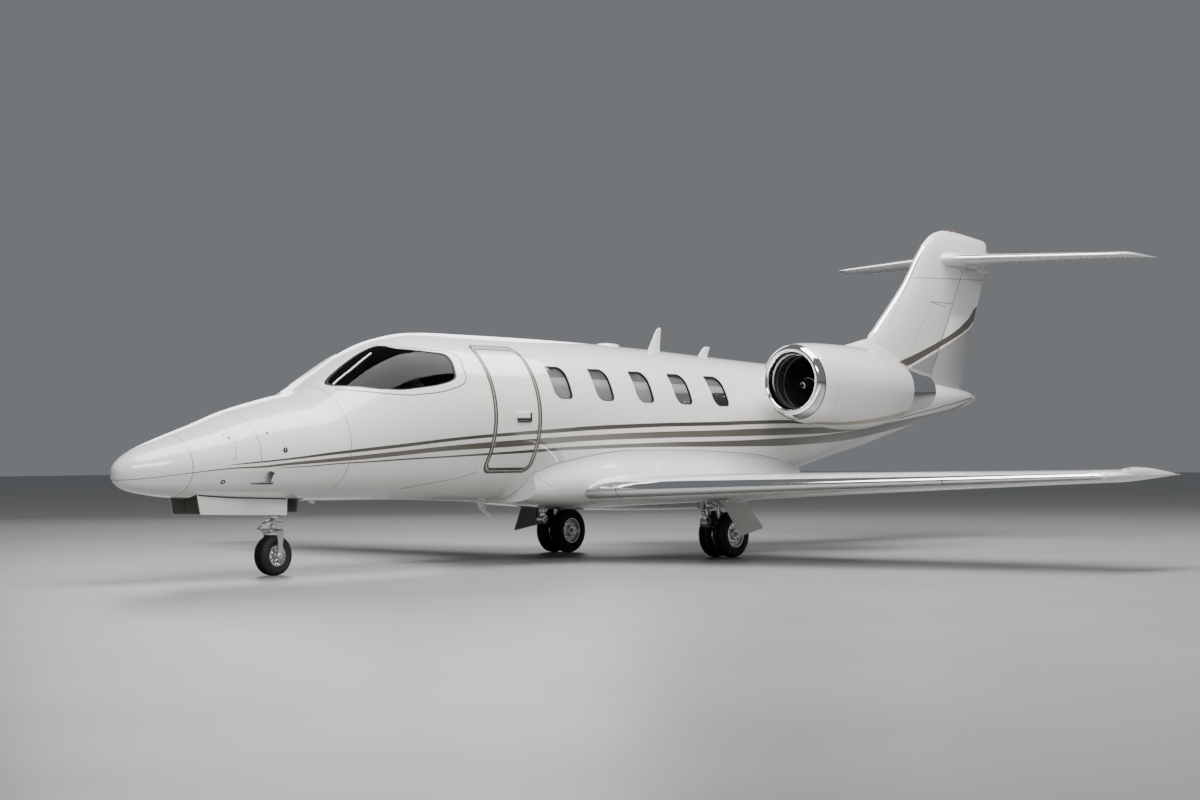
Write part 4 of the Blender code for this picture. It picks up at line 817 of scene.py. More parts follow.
# %% Cockpit shell and windscreens
WINDSCREEN = floats([  # station, distance from the centre line, height
    (2.515, 0.235, 1.95), (2.78, 0.561, 1.896), (3.08, 0.695, 1.877), (3.33, 0.742, 1.892), (3.66, 0.773, 1.937),
    (3.9, 0.768, 2.005), (3.96, 0.712, 2.11), (3.98, 0.641, 2.21), (3.94, 0.575, 2.275), (3.74, 0.515, 2.298),
    (3.441, 0.38, 2.325), (3.215, 0.16, 2.325)])
LIFT_OUT = unit(floats([0.45, 0.62, 0.64]))  # the way in which the pane would lift out
SURROUND = floats([  # the joint round the windscreen frame
    (3.275, 0.148, 2.352), (3.398, 0.305, 2.348), (3.574, 0.425, 2.332), (3.785, 0.512, 2.314), (4.011, 0.558, 2.298),
    (4.079, 0.596, 2.267), (4.102, 0.646, 2.213), (4.08, 0.71, 2.126), (4.062, 0.77, 2.019), (4.009, 0.791, 1.964),
    (3.937, 0.801, 1.931), (3.78, 0.804, 1.892), (3.635, 0.799, 1.863), (3.428, 0.782, 1.84), (3.235, 0.755, 1.827),
    (3.059, 0.713, 1.833), (2.9, 0.656, 1.845), (2.684, 0.543, 1.864), (2.513, 0.399, 1.879)])
POST = floats([(2.553, 0.329, 1.937), (2.681, 0.313, 2.012), (2.815, 0.306, 2.086), (2.974, 0.291, 2.178),
    (3.159, 0.264, 2.272)])


def in_space(rows, side=1):
    """Rows of station, distance and height as points."""
    return placed(rows[:, 0], side * rows[:, 1], rows[:, 2])


def smooth_path(rows, side, count):
    """A smooth open path through the rows."""
    last = len(rows) - 1
    return at_rows(np.column_stack([np.arange(last + 1), in_space(rows, side)]), np.linspace(0, last, count))


def pane_prism(shrink, side):
    outline = closed_curve(in_space(WINDSCREEN))
    centre = outline.mean(axis=0)
    outline = centre + (outline - centre) * shrink
    return lofted(np.stack([outline + LIFT_OUT * shift for shift in (0.35, -0.3)]) * [1, side, 1])


cockpit = new_piece("cockpit_skin", hull_tube(np.linspace(NOSE_END + SEAT_GAP, COCKPIT_END, 30), CABIN_WALL),
    hull_paint)
carve(cockpit, *(new_piece(f"pane cutter {side}", pane_prism(1, side), seal_black) for side in (1, -1)))
settle_skin(cockpit, "cockpit_section", lined=True)
glass_place = np.linspace(NOSE_END, COCKPIT_END, 30), np.append(np.arange(0, 88, 3), 89.5)
for name, side in SIDES:
    pane = kept_patch(f"windscreen_glass_{name}", skin_patch(*glass_place, side, 0.009, 0.018), cockpit_glass,
        pane_prism(0.998, side))
    polish_normals(pane)
    settle(pane, f"windscreen_{name}")
    seal = kept_patch(f"windscreen_seal_{name}", skin_patch(*glass_place, side, 0.003, 0.03), seal_black,
        pane_prism(0.999, side))
    settle(carve(seal, new_piece("seal hole", pane_prism(0.955, side), seal_black)))
    fit(f"windscreen_post_{name}", skin_ribbon(smooth_path(POST, side, 24), 0.016, 0.003, closed=False, sunk=0.02),
        plain_pearl)
    fit(f"windscreen_joint_{name}", skin_ribbon(smooth_path(SURROUND, side, 120), 0.012, 0.0012, closed=False),
        joint_paint, "trim")
report("windscreen")

# %% [markdown]
# ## Entry door
#
# The door is a piece of the wall, hinged along its sill so that it drops outwards. A taupe seal is
# painted round it on the fuselage side, and the handle lies in a shallow box.

# %% Doorway and door
DOOR_FRONT, DOOR_REAR, DOOR_SILL, DOOR_TOP = 4.415, 5.13, 1.036, 2.362
DOOR_GAP = 0.008
SILL_LIFT = 0.004  # more room under the leaf, so that its corners clear the sill as it drops
DOOR_CORNERS = ((DOOR_FRONT, DOOR_TOP), (DOOR_REAR, DOOR_TOP), (DOOR_REAR, DOOR_SILL), (DOOR_FRONT, DOOR_SILL))
DOOR_RADII = (0.03, 0.11, 0.07, 0.09)
DOOR_NEAR = 0.3  # the cutters start this far from the centre line
leaf_outline = rounded(np.maximum(DOOR_CORNERS, (0, DOOR_SILL + SILL_LIFT)), DOOR_RADII)

doorway = new_piece("doorway_skin", hull_tube(np.linspace(COCKPIT_END + SEAT_GAP, DOORWAY_END, 16), CABIN_WALL),
    hull_paint)
carve(doorway, new_piece("door cutter", side_prism(rounded(DOOR_CORNERS, DOOR_RADII), 1, DOOR_NEAR), lining))
settle_skin(doorway, "forward_cabin", lined=True)

door = new_piece("door_panel", skin_patch(np.linspace(COCKPIT_END, DOORWAY_END, 17), np.arange(-60, 85, 3.75), 1, 0,
    CABIN_WALL - 0.012), hull_paint)
carve(door, new_piece("door keeper", side_prism(shrunk(leaf_outline, DOOR_GAP), 1, DOOR_NEAR), lining), keep=True)
settle_skin(door, "entry_door", "entry_door", lined=True)

# %% Door seal and handle
def even(outline, count):
    """The closed outline with evenly spaced points."""
    loop = np.vstack([outline, outline[:1]])
    reach = reach_along(loop)
    where = np.linspace(0, reach[-1], count, endpoint=False)
    return np.stack([np.interp(where, reach, loop[:, k]) for k in range(loop.shape[1])], axis=-1)


def side_line(outline, width, proud):
    """A ribbon along an outline of (station, height) on the port side of the skin."""
    station, height = outline.T
    return skin_ribbon(placed(station, hull_side(station, height), height), width, proud)


edge_path = even(rounded(DOOR_CORNERS, (0.04, 0.12, 0.08, 0.1), 12), 260)
seal_path = shrunk(edge_path, -0.015)
fit("door_seal_line", side_line(seal_path, 0.024, 0.0012), band_paint, "trim")
fit("door_seal_edge", side_line(shrunk(seal_path, -0.0115), 0.005, 0.0018), joint_paint, "trim")
fit("door_rim_line", side_line(shrunk(edge_path, 0.0225), 0.024, 0.0012), band_paint, "trim", body="entry_door")

handle_y = hull_side(4.85, 1.63)[0]
case = placed(4.85 - 0.104 * np.array([1, -1, -1, 1]), handle_y - 0.01, 1.633 + 0.035 * np.array([1, 1, -1, -1]))
fit("door_handle_case", prism(case, (0, 0.026, 0)), plain_pearl, body="entry_door", bevel=0.009)
GRIP_BARS = (  # rear and front station, depths in and out, foot and top
    (4.962, 4.752, -0.004, 0.016, 1.578, 1.597), (4.954, 4.766, -0.002, 0.014, 1.554, 1.568),
    (4.982, 4.958, -0.004, 0.014, 1.56, 1.66))
grip = together(*(box((NOSE_X - rear, handle_y + near, foot), (NOSE_X - front, handle_y + far, top))
    for rear, front, near, far, foot, top in GRIP_BARS))
fit("door_handle_grip", grip, seal_black, "trim", body="entry_door", bevel=0.003)
report("door")

# %% [markdown]
# ## Cabin windows
#
# Five panes a side, each leaning with the curve of the wall. Their outline is square at the top
# front and round behind. A dark seal shows round each, and a shade is part drawn behind the glass;
# the bright band across the middle of the shade is a painted reflection of the sky.

# %% Cabin shell with five windows a side
WINDOW_FIRST, WINDOW_PITCH, WINDOW_COUNT = 5.407, 0.7185, 5
WINDOW_WIDTH, WINDOW_HEIGHT, WINDOW_FOOT, WINDOW_DROP = 0.305, 0.364, 1.815, 0.0125
UNDERFLOOR = 0.985


def window_outline(i):
    front, foot = WINDOW_FIRST + i * WINDOW_PITCH, WINDOW_FOOT - i * WINDOW_DROP
    rear, top = front + WINDOW_WIDTH, foot + WINDOW_HEIGHT
    return rounded(((front, top), (rear, top), (rear, foot), (front, foot)), (0.018, 0.11, 0.055, 0.125))


def all_windows(side, shrink):
    return together(*(side_prism(shrunk(window_outline(i), shrink), side) for i in range(WINDOW_COUNT)))


stations = np.linspace(DOORWAY_END + SEAT_GAP, CABIN_END, 56)
cabin = new_piece("cabin_skin", hull_tube(stations, CABIN_WALL), hull_paint)
underfloor = box((NOSE_X - CABIN_END - 0.1, -1, 0.3), (NOSE_X - DOORWAY_END + 0.1, 1, UNDERFLOOR))
carve(cabin, *(new_piece(f"window cutter {side}", all_windows(side, 0), seal_black) for side in (1, -1)),
    new_piece("underfloor cutter", underfloor, primer))
settle_skin(cabin, "mid_cabin", lined=True)
WINDOW_DEGREES = np.arange(0, 62, 3)
WINDOW_LAYERS = (  # name, depths under the skin, finish, how far inside the opening
    ("cabin_panes", 0.007, 0.013, cabin_glass, 0.0004), ("window_seals", 0.0025, 0.026, seal_black, 0.0004),
    ("window_shades_with_reflection", 0.03, 0.034, painted_reflection_shade, -0.008))
for name, side in SIDES:
    panes, seals, shades = (kept_patch(f"{kind}_{name}", skin_patch(stations, WINDOW_DEGREES, side, near, far), finish,
        all_windows(side, shrink)) for kind, near, far, finish, shrink in WINDOW_LAYERS)
    polish_normals(panes)
    settle(panes, f"cabin_windows_{name}")
    settle(carve(seals, new_piece("seal hole", all_windows(side, 0.009), seal_black)))
    settle(shades)

# %% Aft fuselage and tail cone
aft = new_piece("aft_skin", hull_tube(np.linspace(CABIN_END + SEAT_GAP, AFT_END, 48), AFT_WALL), hull_paint)
tail = new_piece("tail_cone_skin", lofted(hull_grid(np.linspace(AFT_END + SEAT_GAP, TAIL_END, 36), ring)), hull_paint)
settle_skin(aft, "aft_fuselage")
settle_skin(tail, "tail_cone")
report("cabin", "window", "aft", "tail")

# %% [markdown]
# # Wing-body fairing
#
# The wing passes under the cabin, and a wide pan closes the gap and carries the air round the root.
# Its sections are rounded below and turn in to the fuselage side, and what lies inside the skin is
# cut away.

# %% Belly fairing
FAIRING = floats([  # station, lowest height, half width, height where it meets the fuselage
    (5.243, 0.668, 0.7, 1.015), (5.53, 0.64, 0.8, 1.1), (6, 0.606, 0.9, 1.185), (6.6, 0.57, 0.95, 1.24),
    (7.5, 0.541, 0.965, 1.232), (8.4, 0.534, 0.955, 1.2), (9, 0.552, 0.915, 1.16), (9.6, 0.64, 0.85, 1.125),
    (10.2, 0.81, 0.74, 1.09)])
FAIRING_LIP = 0.004  # how far the pan's upper edge stands off the skin


def fairing_grid(stations):
    """Below: (w sin^.75, m - (m - low) cos^.75); above: the half width eases in to the skin."""
    low, half, top = columns_at(FAIRING, stations)
    upper_half = hull_side(stations, top[:, 0])[:, None] + FAIRING_LIP
    middle = low + 0.52 * (top - low)
    a = np.linspace(0, math.pi / 2, 18)[None, :]
    t = np.linspace(0, 1, 15)[None, 1:]
    y = np.hstack([half * np.sin(a) ** 0.75, half + (upper_half - half) * (0.5 - 0.5 * np.cos(math.pi * t))])
    z = np.hstack([middle - (middle - low) * np.cos(a) ** 0.75, middle + (top - middle) * t])
    x = NOSE_X - stations[:, None]
    return np.hstack([points_of(x, y, z), points_of(x, -y[:, :0:-1], z[:, :0:-1])])


fairing = new_piece("wing_body_fairing", lofted(fairing_grid(np.linspace(FAIRING[0, 0], FAIRING[-1, 0], 60))),
    fairing_paint, sharp=40)
hull_tool = lofted(hull_grid(np.linspace(COCKPIT_END, 10.9, 60), ring, -SEAT_GAP))
carve(fairing, new_piece("skin tool", hull_tool, plain_pearl), sharp=40)
settle(fairing, "belly_fairing")
report("fairing")

# %% [markdown]
# ## Wing
#
# The section is a classic round-nosed one. Its leading edge is bare polished metal, heated against
# ice, so the faces near the nose of the section take another finish. Coves are cut for the flap
# and the aileron, which turn about a line near three quarters of the chord.

# %% Section of a wing
def half_depth(x):
    """Half thickness over thickness: 10 (.2969 x^.5 - .126 x - .3516 x^2 + .2843 x^3 - .1015 x^4)."""
    return 10 * (0.2969 * np.sqrt(x) - 0.126 * x - 0.3516 * x ** 2 + 0.2843 * x ** 3 - 0.1015 * x ** 4)


CHORD = 0.5 - 0.5 * np.cos(np.linspace(0, math.pi, 34))
AROUND_SECTION = np.concatenate([CHORD, CHORD[:0:-1]])
OVER = np.concatenate([np.ones(len(CHORD)), -np.ones(len(CHORD) - 1)])


def section_grid(lead, trail, depth, blunt=0.004):
    """Chordwise place and offset of each section, one row a section."""
    lead, trail, depth = (floats(v)[:, None] for v in (lead, trail, depth))
    x, chord = AROUND_SECTION[None, :], trail - lead
    offset = OVER * np.where(x > 0, half_depth(x) * depth * chord / 2 + blunt * x, 0)
    return lead + chord * x, offset


def polish_leading_edge(thing, rows, share, low, high, axis=1):
    """Give the second finish to a loft's faces near the section's nose, between two places."""
    faces = thing.data.polygons
    near = np.maximum(AROUND_SECTION, np.roll(AROUND_SECTION, -1)) <= share
    mask = np.tile(near, rows - 1)
    reach = np.abs(read_mesh(faces, "center", 3)[:len(mask), axis])
    index = np.zeros(len(faces), np.int32)
    index[:len(mask)] = mask & (reach > low) & (reach < high)
    faces.foreach_set("material_index", index)

# %% Section of a hinged surface
MOVE_GAP, SIDE_GAP = 0.008, 0.01
NOSE_SWELL = 1.15  # radius of the rounded front over the half thickness at the hinge


def hinge_cosine(y, hinge):
    """Cosine of the hinge line's sweep."""
    return (y[-1] - y[0]) / math.hypot(y[-1] - y[0], hinge[-1] - hinge[0])


def control_grid(hinge, trail, half, cosine, clear):
    """Section of a hinged surface: an arc about the hinge, then straight to the trailing edge.

    With a clearance it is the space round the surface instead, open behind."""
    hinge, trail, half = (floats(v)[:, None] for v in (hinge, trail, half))
    radius = NOSE_SWELL * half + clear
    spread = 1.15 if clear else math.asin(1 / NOSE_SWELL)
    a = np.linspace(-spread, spread, 15)[None, :]
    place, offset = hinge - radius * np.cos(a) / cosine, radius * np.sin(a)
    if not clear:
        ends = np.broadcast_to(trail, (len(trail), 2))
        return np.hstack([place, ends]), np.hstack([offset, 0 * ends + [[0.003, -0.003]]])
    reach, front = 2.5 * half, hinge - radius * math.cos(spread) / cosine
    return (np.hstack([place, front, trail + 0.3, trail + 0.3, front]),
        np.hstack([offset, reach, reach, -reach, -reach]))


def span_places(span, clear):
    """Places along a span; the clearance is a little longer and needs only its ends."""
    more = SIDE_GAP if clear else 0
    return np.linspace(span[0] - more, span[1] + more, 2 if clear else 9)

# %% Wings, flaps and ailerons
WING = floats([  # distance from the centre line, leading edge, trailing edge, height, depth
    (1, 5.93, 8.75, 0.805, 0.125), (6.5, 7.28, 8.61, 0.965, 0.095)])
WING_TIP = floats([  # distance, how far the leading edge sweeps back, share of the thickness
    (6.5, 0, 1), (6.6, 0.06, 0.8), (6.66, 0.22, 0.5), (6.683, 0.55, 0.2)])
HINGE_SHARE = 0.77
FLAP_Y, AILERON_Y = (1.02, 4.05), (4.1, 6.3)


def between_ends(rows, y):
    """The columns of a table of two rows, in proportion to the distance y."""
    t = (y - rows[0, 0]) / (rows[1, 0] - rows[0, 0])
    return rows[0, 1:, None] + (rows[1, 1:] - rows[0, 1:])[:, None] * t


def wing_grid(side):
    y = np.concatenate([[0.002], np.linspace(0.6, 6.5, 26), np.linspace(6.52, 6.683, 12)])
    lead, trail, height, depth = between_ends(WING, y)
    back, share = at_rows(WING_TIP, np.maximum(y, 6.5)).T
    station, offset = section_grid(lead + back, trail, depth * share)
    return placed(station, side * y[:, None], height[:, None] + offset)


def control_shape(span, side, clear=0):
    y = span_places(span, clear)
    lead, trail, height, depth = between_ends(WING, y)
    hinge = lead + HINGE_SHARE * (trail - lead)
    half = half_depth(HINGE_SHARE) * depth * (trail - lead) / 2 + 0.004 * HINGE_SHARE
    station, offset = control_grid(hinge, trail, half, hinge_cosine(y, hinge), clear)
    return lofted(placed(station, side * y[:, None], height[:, None] + offset))


for name, side in SIDES:
    grid = wing_grid(side)
    wing = new_piece(f"wing_skin_{name}", lofted(grid), plain_pearl, wing_edge, liner_grey_and_cove_shade, sharp=40)
    polish_leading_edge(wing, len(grid), 0.045, 0.9, 6.42)
    # The cove faces take the third finish, a darker grey: painted shade in the cove
    carve(wing, *(new_piece("cove tool", control_shape(span, side, MOVE_GAP), liner_grey_and_cove_shade)
        for span in (FLAP_Y, AILERON_Y)), sharp=40)
    settle(wing, node=f"wing_{name}")
    for kind, span in (("flap", FLAP_Y), ("aileron", AILERON_Y)):
        node = f"{kind}_{name}"
        fit(f"{kind}_skin_{name}", control_shape(span, side), plain_pearl, node=node, body=node, sharp=40)
report("wing", "flap", "aileron")

# %% [markdown]
# # Tail
#
# The tailplane sits across the top of the fin, in a T. It is a wing again, so the same section and
# hinge are used, lying flat for the tailplane and standing up for the fin.

# %% Tailplane and elevators
TAIL_Z = 3.935
TAILPLANE = floats([(0, 14.56, 15.98, 0.105), (2.34, 15.62, 16.54, 0.09)])
TAIL_TIP = floats([(2.34, 0, 1), (2.38, 0.06, 0.75), (2.41, 0.18, 0.35)])
ELEVATOR_Y = (0.22, 2.28)
TAIL_HINGE = 0.7


def elevator_shape(side, clear=0):
    y = span_places(ELEVATOR_Y, clear)
    lead, trail, depth = between_ends(TAILPLANE, y)
    half = half_depth(TAIL_HINGE) * depth * (trail - lead) / 2 + 0.003 * TAIL_HINGE
    hinge = lead + TAIL_HINGE * (trail - lead)
    station, offset = control_grid(hinge, trail, half, hinge_cosine(y, hinge), clear)
    return lofted(placed(station, side * y[:, None], TAIL_Z + offset))


tip_y = np.linspace(2.35, 2.41, 7)
tail_y = np.concatenate([-tip_y[::-1], np.linspace(-2.34, 2.34, 27), tip_y])
lead, trail, depth = between_ends(TAILPLANE, np.abs(tail_y))
back, share = at_rows(TAIL_TIP, np.maximum(np.abs(tail_y), 2.34)).T
station, offset = section_grid(lead + back, trail, depth * share, 0.003)
tailplane = new_piece("tailplane_skin", lofted(placed(station, tail_y[:, None], TAIL_Z + offset)), plain_pearl, chrome,
    liner_grey_and_cove_shade, sharp=40)
polish_leading_edge(tailplane, len(tail_y), 0.055, 0.22, 2.32)
# The cove faces take the darker grey: painted shade in the cove
carve(tailplane, *(new_piece("cove tool", elevator_shape(side, MOVE_GAP), liner_grey_and_cove_shade) for side in (1, -1)), sharp=40)
settle(tailplane, "tailplane")
for name, side in SIDES:
    node = f"elevator_{name}"
    fit(f"elevator_skin_{name}", elevator_shape(side), plain_pearl, "composite_paint", node, node, sharp=40)

# %% Root fairing of the tailplane
ROOT_HALF = 0.285
root_y = np.linspace(-ROOT_HALF, ROOT_HALF, 25)
lead, trail, depth = between_ends(TAILPLANE, np.abs(root_y))
ease = np.clip((ROOT_HALF - np.abs(root_y)) / 0.16, 0, 1)
ease = ease * ease * (3 - 2 * ease)
station, offset = section_grid(lead - 0.06 * ease, lead + 0.74 * (trail - lead), (depth + 0.036 * ease) * 1.3, 0.003)
root = placed(station, root_y[:, None], TAIL_Z + offset * (0.9 + 0.1 * ease[:, None]))
fit("tailplane_root_fairing", lofted(root), plain_pearl, "composite_paint", sharp=40)

# %% Fin and rudder
FIN = floats([  # height, leading edge, trailing edge, half thickness
    (1.95, 12.7, 15.16, 0.125), (2.45, 12.72, 15.34, 0.125), (2.77, 12.86, 15.45, 0.12), (2.899, 13.01, 15.5, 0.118),
    (3.158, 13.31, 15.61, 0.112), (3.581, 13.77, 15.8, 0.104), (4.06, 14.18, 15.91, 0.096),
    (4.19, 14.34, 15.94, 0.084), (4.245, 14.43, 15.88, 0.072), (4.3, 14.56, 15.45, 0.046),
    (4.338, 14.73, 15.05, 0.014)])
RUDDER_HINGE = ((14.33, 2.26), (15.31, 3.8))
RUDDER_FOOT = (2.285, 2.15)
RUDDER_TOP, NOTCH_TOP = 3.79, 3.832


def rudder_shape(clear=0):
    height = np.array([2, 2.62, 3.05, 3.45, NOTCH_TOP]) if clear else np.linspace(RUDDER_FOOT[0], RUDDER_TOP, 20)
    lead, trail, half = at_rows(FIN, height).T
    (s0, z0), (s1, z1) = RUDDER_HINGE
    hinge = s0 + (s1 - s0) * (height - z0) / (z1 - z0)
    share = (hinge - lead) / (trail - lead)
    half = half_depth(share) * half + 0.004 * share
    station, offset = control_grid(hinge, trail, half, (z1 - z0) / math.hypot(z1 - z0, s1 - s0), clear)
    level = np.broadcast_to(height[:, None], station.shape).copy()
    if not clear:
        level[0] += (RUDDER_FOOT[1] - RUDDER_FOOT[0]) * np.maximum(0, station[0] - hinge[0]) / (trail[0] - hinge[0])
    return lofted(placed(station, offset, level))


heights = np.concatenate([np.linspace(1.95, 4.12, 60), np.linspace(4.14, 4.338, 16)])
lead, trail, half = at_rows(FIN, heights).T
station, offset = section_grid(lead, trail, 2 * half / (trail - lead))
fin = new_piece("fin_skin", lofted(placed(station, offset, heights[:, None])), fin_paint, chrome, sharp=40)
polish_leading_edge(fin, len(heights), 0.022, 2.83, 4.09, axis=2)
carve(fin, new_piece("cove tool", rudder_shape(MOVE_GAP), fin_paint), sharp=40)
settle(fin, "fin")
fit("rudder_skin", rudder_shape(), fin_paint, "composite_paint", "rudder", "rudder", sharp=40)

# %% [markdown]
# ## Dorsal fairing
#
# A smooth saddle joins the crown of the fuselage to the fin. Across the aircraft it is a bell curve
# added to the skin's own height, so it leaves the skin with no crease.

# %% Dorsal saddle
SADDLE = floats([  # station, rise of the crest over the crown, half width
    (10.7, 0, 0.2), (11.1, 0.05, 0.24), (11.5, 0.135, 0.27), (12, 0.285, 0.3), (12.45, 0.385, 0.32),
    (12.85, 0.47, 0.33), (13.2, 0.5, 0.31), (13.7, 0.36, 0.265), (14.2, 0.25, 0.21), (14.7, 0.15, 0.165),
    (15.1, 0.08, 0.11)])
saddle_s = np.linspace(SADDLE[0, 0], SADDLE[-1, 0], 70)
rise, reach = columns_at(SADDLE, saddle_s)
belly, crown, half, middle = columns_at(HULL, saddle_s)
u = np.linspace(-1, 1, 41)[None, :]
skin_z = middle + (crown - middle) * np.sqrt(np.maximum(0, 1 - (u * reach / half) ** 2))
saddle_z = skin_z + rise * np.cos(math.pi / 2 * u) ** 2.4 - 0.003
saddle_x, saddle_y = NOSE_X - saddle_s[:, None], u * reach
saddle = slab(points_of(saddle_x, saddle_y, saddle_z), points_of(saddle_x, saddle_y * 0.98, skin_z - 0.012))
fit("dorsal_fairing", saddle, fin_paint, "composite_paint", sharp=50)
report("fin", "tail", "rudder", "elevator", "dorsal")

# %% [markdown]
# # Engines
#
# Each pod is a smooth body of revolution that leans its inlet a little upwards, so the centre of its
# rings moves with the station. Outside and inside are two tables, and the same two tables give the
# polished lip, the painted cowl and the polished nozzle, split where the metal changes.

# %% Pod tables
ENGINE_Y = 1.414
POD_OUT = floats([(9.035, 0.3785), (9.037, 0.392), (9.045, 0.407), (9.062, 0.421), (9.1, 0.44), (9.22, 0.466),
    (9.44, 0.489), (9.7, 0.506), (10.05, 0.517), (10.4, 0.508), (10.8, 0.462), (11.15, 0.394), (11.45, 0.318),
    (11.7, 0.262), (11.95, 0.22)])
POD_IN = floats([(9.035, 0.3775), (9.037, 0.365), (9.045, 0.353), (9.062, 0.342), (9.1, 0.33), (9.15, 0.324),
    (9.24, 0.322), (9.35, 0.328), (9.44, 0.34), (9.51, 0.354), (9.7, 0.356), (10.05, 0.4), (10.4, 0.42), (10.8, 0.4),
    (11.15, 0.35), (11.45, 0.28), (11.7, 0.236), (11.95, 0.208)])
POD_Z = floats([(9.035, 2.072), (9.22, 2.06), (9.44, 2.046), (9.7, 2.03), (10.05, 2.012), (10.4, 2.002), (10.8, 1.995),
    (11.15, 1.992), (11.45, 1.99), (11.95, 1.99)])
pod_angle = round_angles(96)
LIP_JOINT = (9.135 - 0.035 * np.sin(pod_angle))[None, :]  # the joint leans, so it differs round the pod
POD_NOSE, CHROME_START, POD_END = 9.035, 11.17, 11.95
HALF_JOINT = 0.0015


def pod_grid(rows, stations, side, extra=0):
    """Rings of a pod: (y, z) = centre + r (cos a, sin a)."""
    stations = np.broadcast_to(stations, (len(stations), len(pod_angle)))
    radius, centre = (at_rows(table, stations.ravel())[:, 0].reshape(stations.shape) for table in (rows, POD_Z))
    radius = radius + extra
    return placed(stations, side * (ENGINE_Y + radius * np.cos(pod_angle)), centre + radius * np.sin(pod_angle))


def stretch(start, end, count, power=1):
    """Stations from one edge to another, either of which may differ round the pod."""
    return start + (end - start) * (np.linspace(0, 1, count) ** power)[:, None]


def pod_shell(stations, side):
    """The pod's own wall between its outside and its inside."""
    return walled(pod_grid(POD_OUT, stations, side), pod_grid(POD_IN, stations, side))


def pod_liner(rows, stations, side, near, far):
    """A thin wall on one face of the pod, between two distances from it."""
    return walled(pod_grid(rows, stations, side, near), pod_grid(rows, stations, side, far))

# %% Lips, cowls and nozzles
for name, side in SIDES:
    fit(f"inlet_lip_ring_{name}", pod_shell(stretch(POD_NOSE, LIP_JOINT - HALF_JOINT, 22, 1.7), side), chrome,
        "polished", f"inlet_lip_{name}", sharp=50)
    fit(f"cowl_skin_{name}", pod_shell(stretch(LIP_JOINT + HALF_JOINT, CHROME_START - HALF_JOINT, 60), side),
        cowl_paint, "composite_paint", f"nacelle_{name}")
    fit(f"nozzle_skin_{name}", pod_shell(stretch(CHROME_START, POD_END, 26), side), chrome, "polished",
        f"exhaust_nozzle_{name}")
    fit(f"lip_joint_{name}", pod_liner(POD_OUT, stretch(LIP_JOINT - 0.007, LIP_JOINT + 0.007, 3), side, 0.0004, -0.004),
        seal_black, "trim")
    fit(f"inlet_duct_{name}", pod_liner(POD_IN, stretch(9.15, 9.98, 22), side, 0.003, -0.0015), dark_metal, "turbine")
    fit(f"jet_pipe_{name}", pod_liner(POD_IN, stretch(11.2, 11.93, 16), side, 0.001, -0.002), dark_metal, "turbine")
    rings = together(*(pod_liner(POD_IN, stretch(s, s + 0.012, 2), side, -0.001, -0.0045) for s in (9.215, 9.365)))
    fit(f"duct_rings_{name}", rings, brushed, "turbine")

# %% [markdown]
# ## Fans
#
# Each blade is a thin cambered strip that twists from the hub to the tip. All blades come from one
# set of arrays: blade number, place along the span and place round the section.

# %% Spinner and blades
FAN_STATION, FAN_Z = 9.6, 2.036
BLADES = 24
BLADE_HUB, BLADE_TIP, BLADE_CHORD, BLADE_THICK = 0.085, 0.347, 0.125, 0.0032


def blade_set(side):
    """Along the axis: a cos p - t sin p; across: a sin p + t cos p + camber; then turned round the axis."""
    turn = (2 * np.pi * np.arange(BLADES) / BLADES)[:, None, None]
    share = np.linspace(0, 1, 9)[None, :, None]
    radius = BLADE_HUB + (BLADE_TIP - BLADE_HUB) * share
    pitch = 0.62 + 0.55 * share
    section = np.concatenate([np.linspace(-0.5, 0.5, 7), np.linspace(0.5, -0.5, 7)])[None, None, :]
    face = np.repeat([1, -1], 7)[None, None, :]
    along = section * BLADE_CHORD * (0.8 + 0.35 * share)
    off = BLADE_THICK * (1.35 - 4 * section ** 2 * 0.95) * face + 0.01 * (1 - 4 * section ** 2)
    x = along * np.cos(pitch) - off * np.sin(pitch)
    w = side * (along * np.sin(pitch) + off * np.cos(pitch))
    y = side * ENGINE_Y + w * np.cos(turn) - radius * np.sin(turn)
    z = FAN_Z + w * np.sin(turn) + radius * np.cos(turn)
    return together(*(lofted(blade) for blade in placed(FAN_STATION - x, y, z)))


SPINNER = [(-0.115, 0.045), (-0.11, 0.104), (0.05, 0.11), (0.1, 0.104), (0.148, 0.092), (0.203, 0.075), (0.257, 0.056),
    (0.302, 0.037), (0.335, 0.02), (0.35, 0.009), (0.355, 0.002)]
EXHAUST_PLUG = [(0, 0.155), (0.2, 0.14), (0.38, 0.085), (0.5, 0.03), (0.53, 0.004)]


def swirl(centre):
    """A white stripe that winds round the spinner as it comes back from the tip."""
    t = np.linspace(0, 1, 50)
    radius = 0.088 * (1 - t) + 0.022 * t
    ahead = np.interp(radius, [0.02, 0.037, 0.056, 0.075, 0.092], [0.335, 0.302, 0.257, 0.203, 0.148])
    turn = 2.3 * math.pi * t
    spoke = points_of(0 * t, np.cos(turn), np.sin(turn))
    path = np.array(centre) + spoke * radius[:, None] + ahead[:, None] * [1, 0, 0]
    outwards = unit(spoke + [0.8, 0, 0])
    side = unit(np.cross(outwards, unit(np.gradient(path, axis=0))))
    return swept(path, side, outwards, [(-0.006, -0.003), (0.006, -0.003), (0.005, 0.002), (-0.005, 0.002)])


for name, side in SIDES:
    body, centre = f"fan_{name}", (NOSE_X - FAN_STATION, side * ENGINE_Y, FAN_Z)
    fit(f"fan_blades_{name}", blade_set(side), blade_metal, "turbine", body, body, sharp=60)
    fit(f"fan_spinner_{name}", turned(SPINNER, centre, (1, 0, 0)), screen_glass, "turbine", body=body, sharp=50)
    fit(f"spinner_swirl_{name}", swirl(centre), plain_pearl, "turbine", body=body)
    plug = turned(EXHAUST_PLUG, (NOSE_X - 11.3, side * ENGINE_Y, 1.995), (-1, 0, 0))
    fit(f"exhaust_plug_{name}", plug, grey_metal, "turbine")
    core_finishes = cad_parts[f"engine_core_{name}"].data.materials
    core_finishes.clear()
    core_finishes.append(dark_metal)

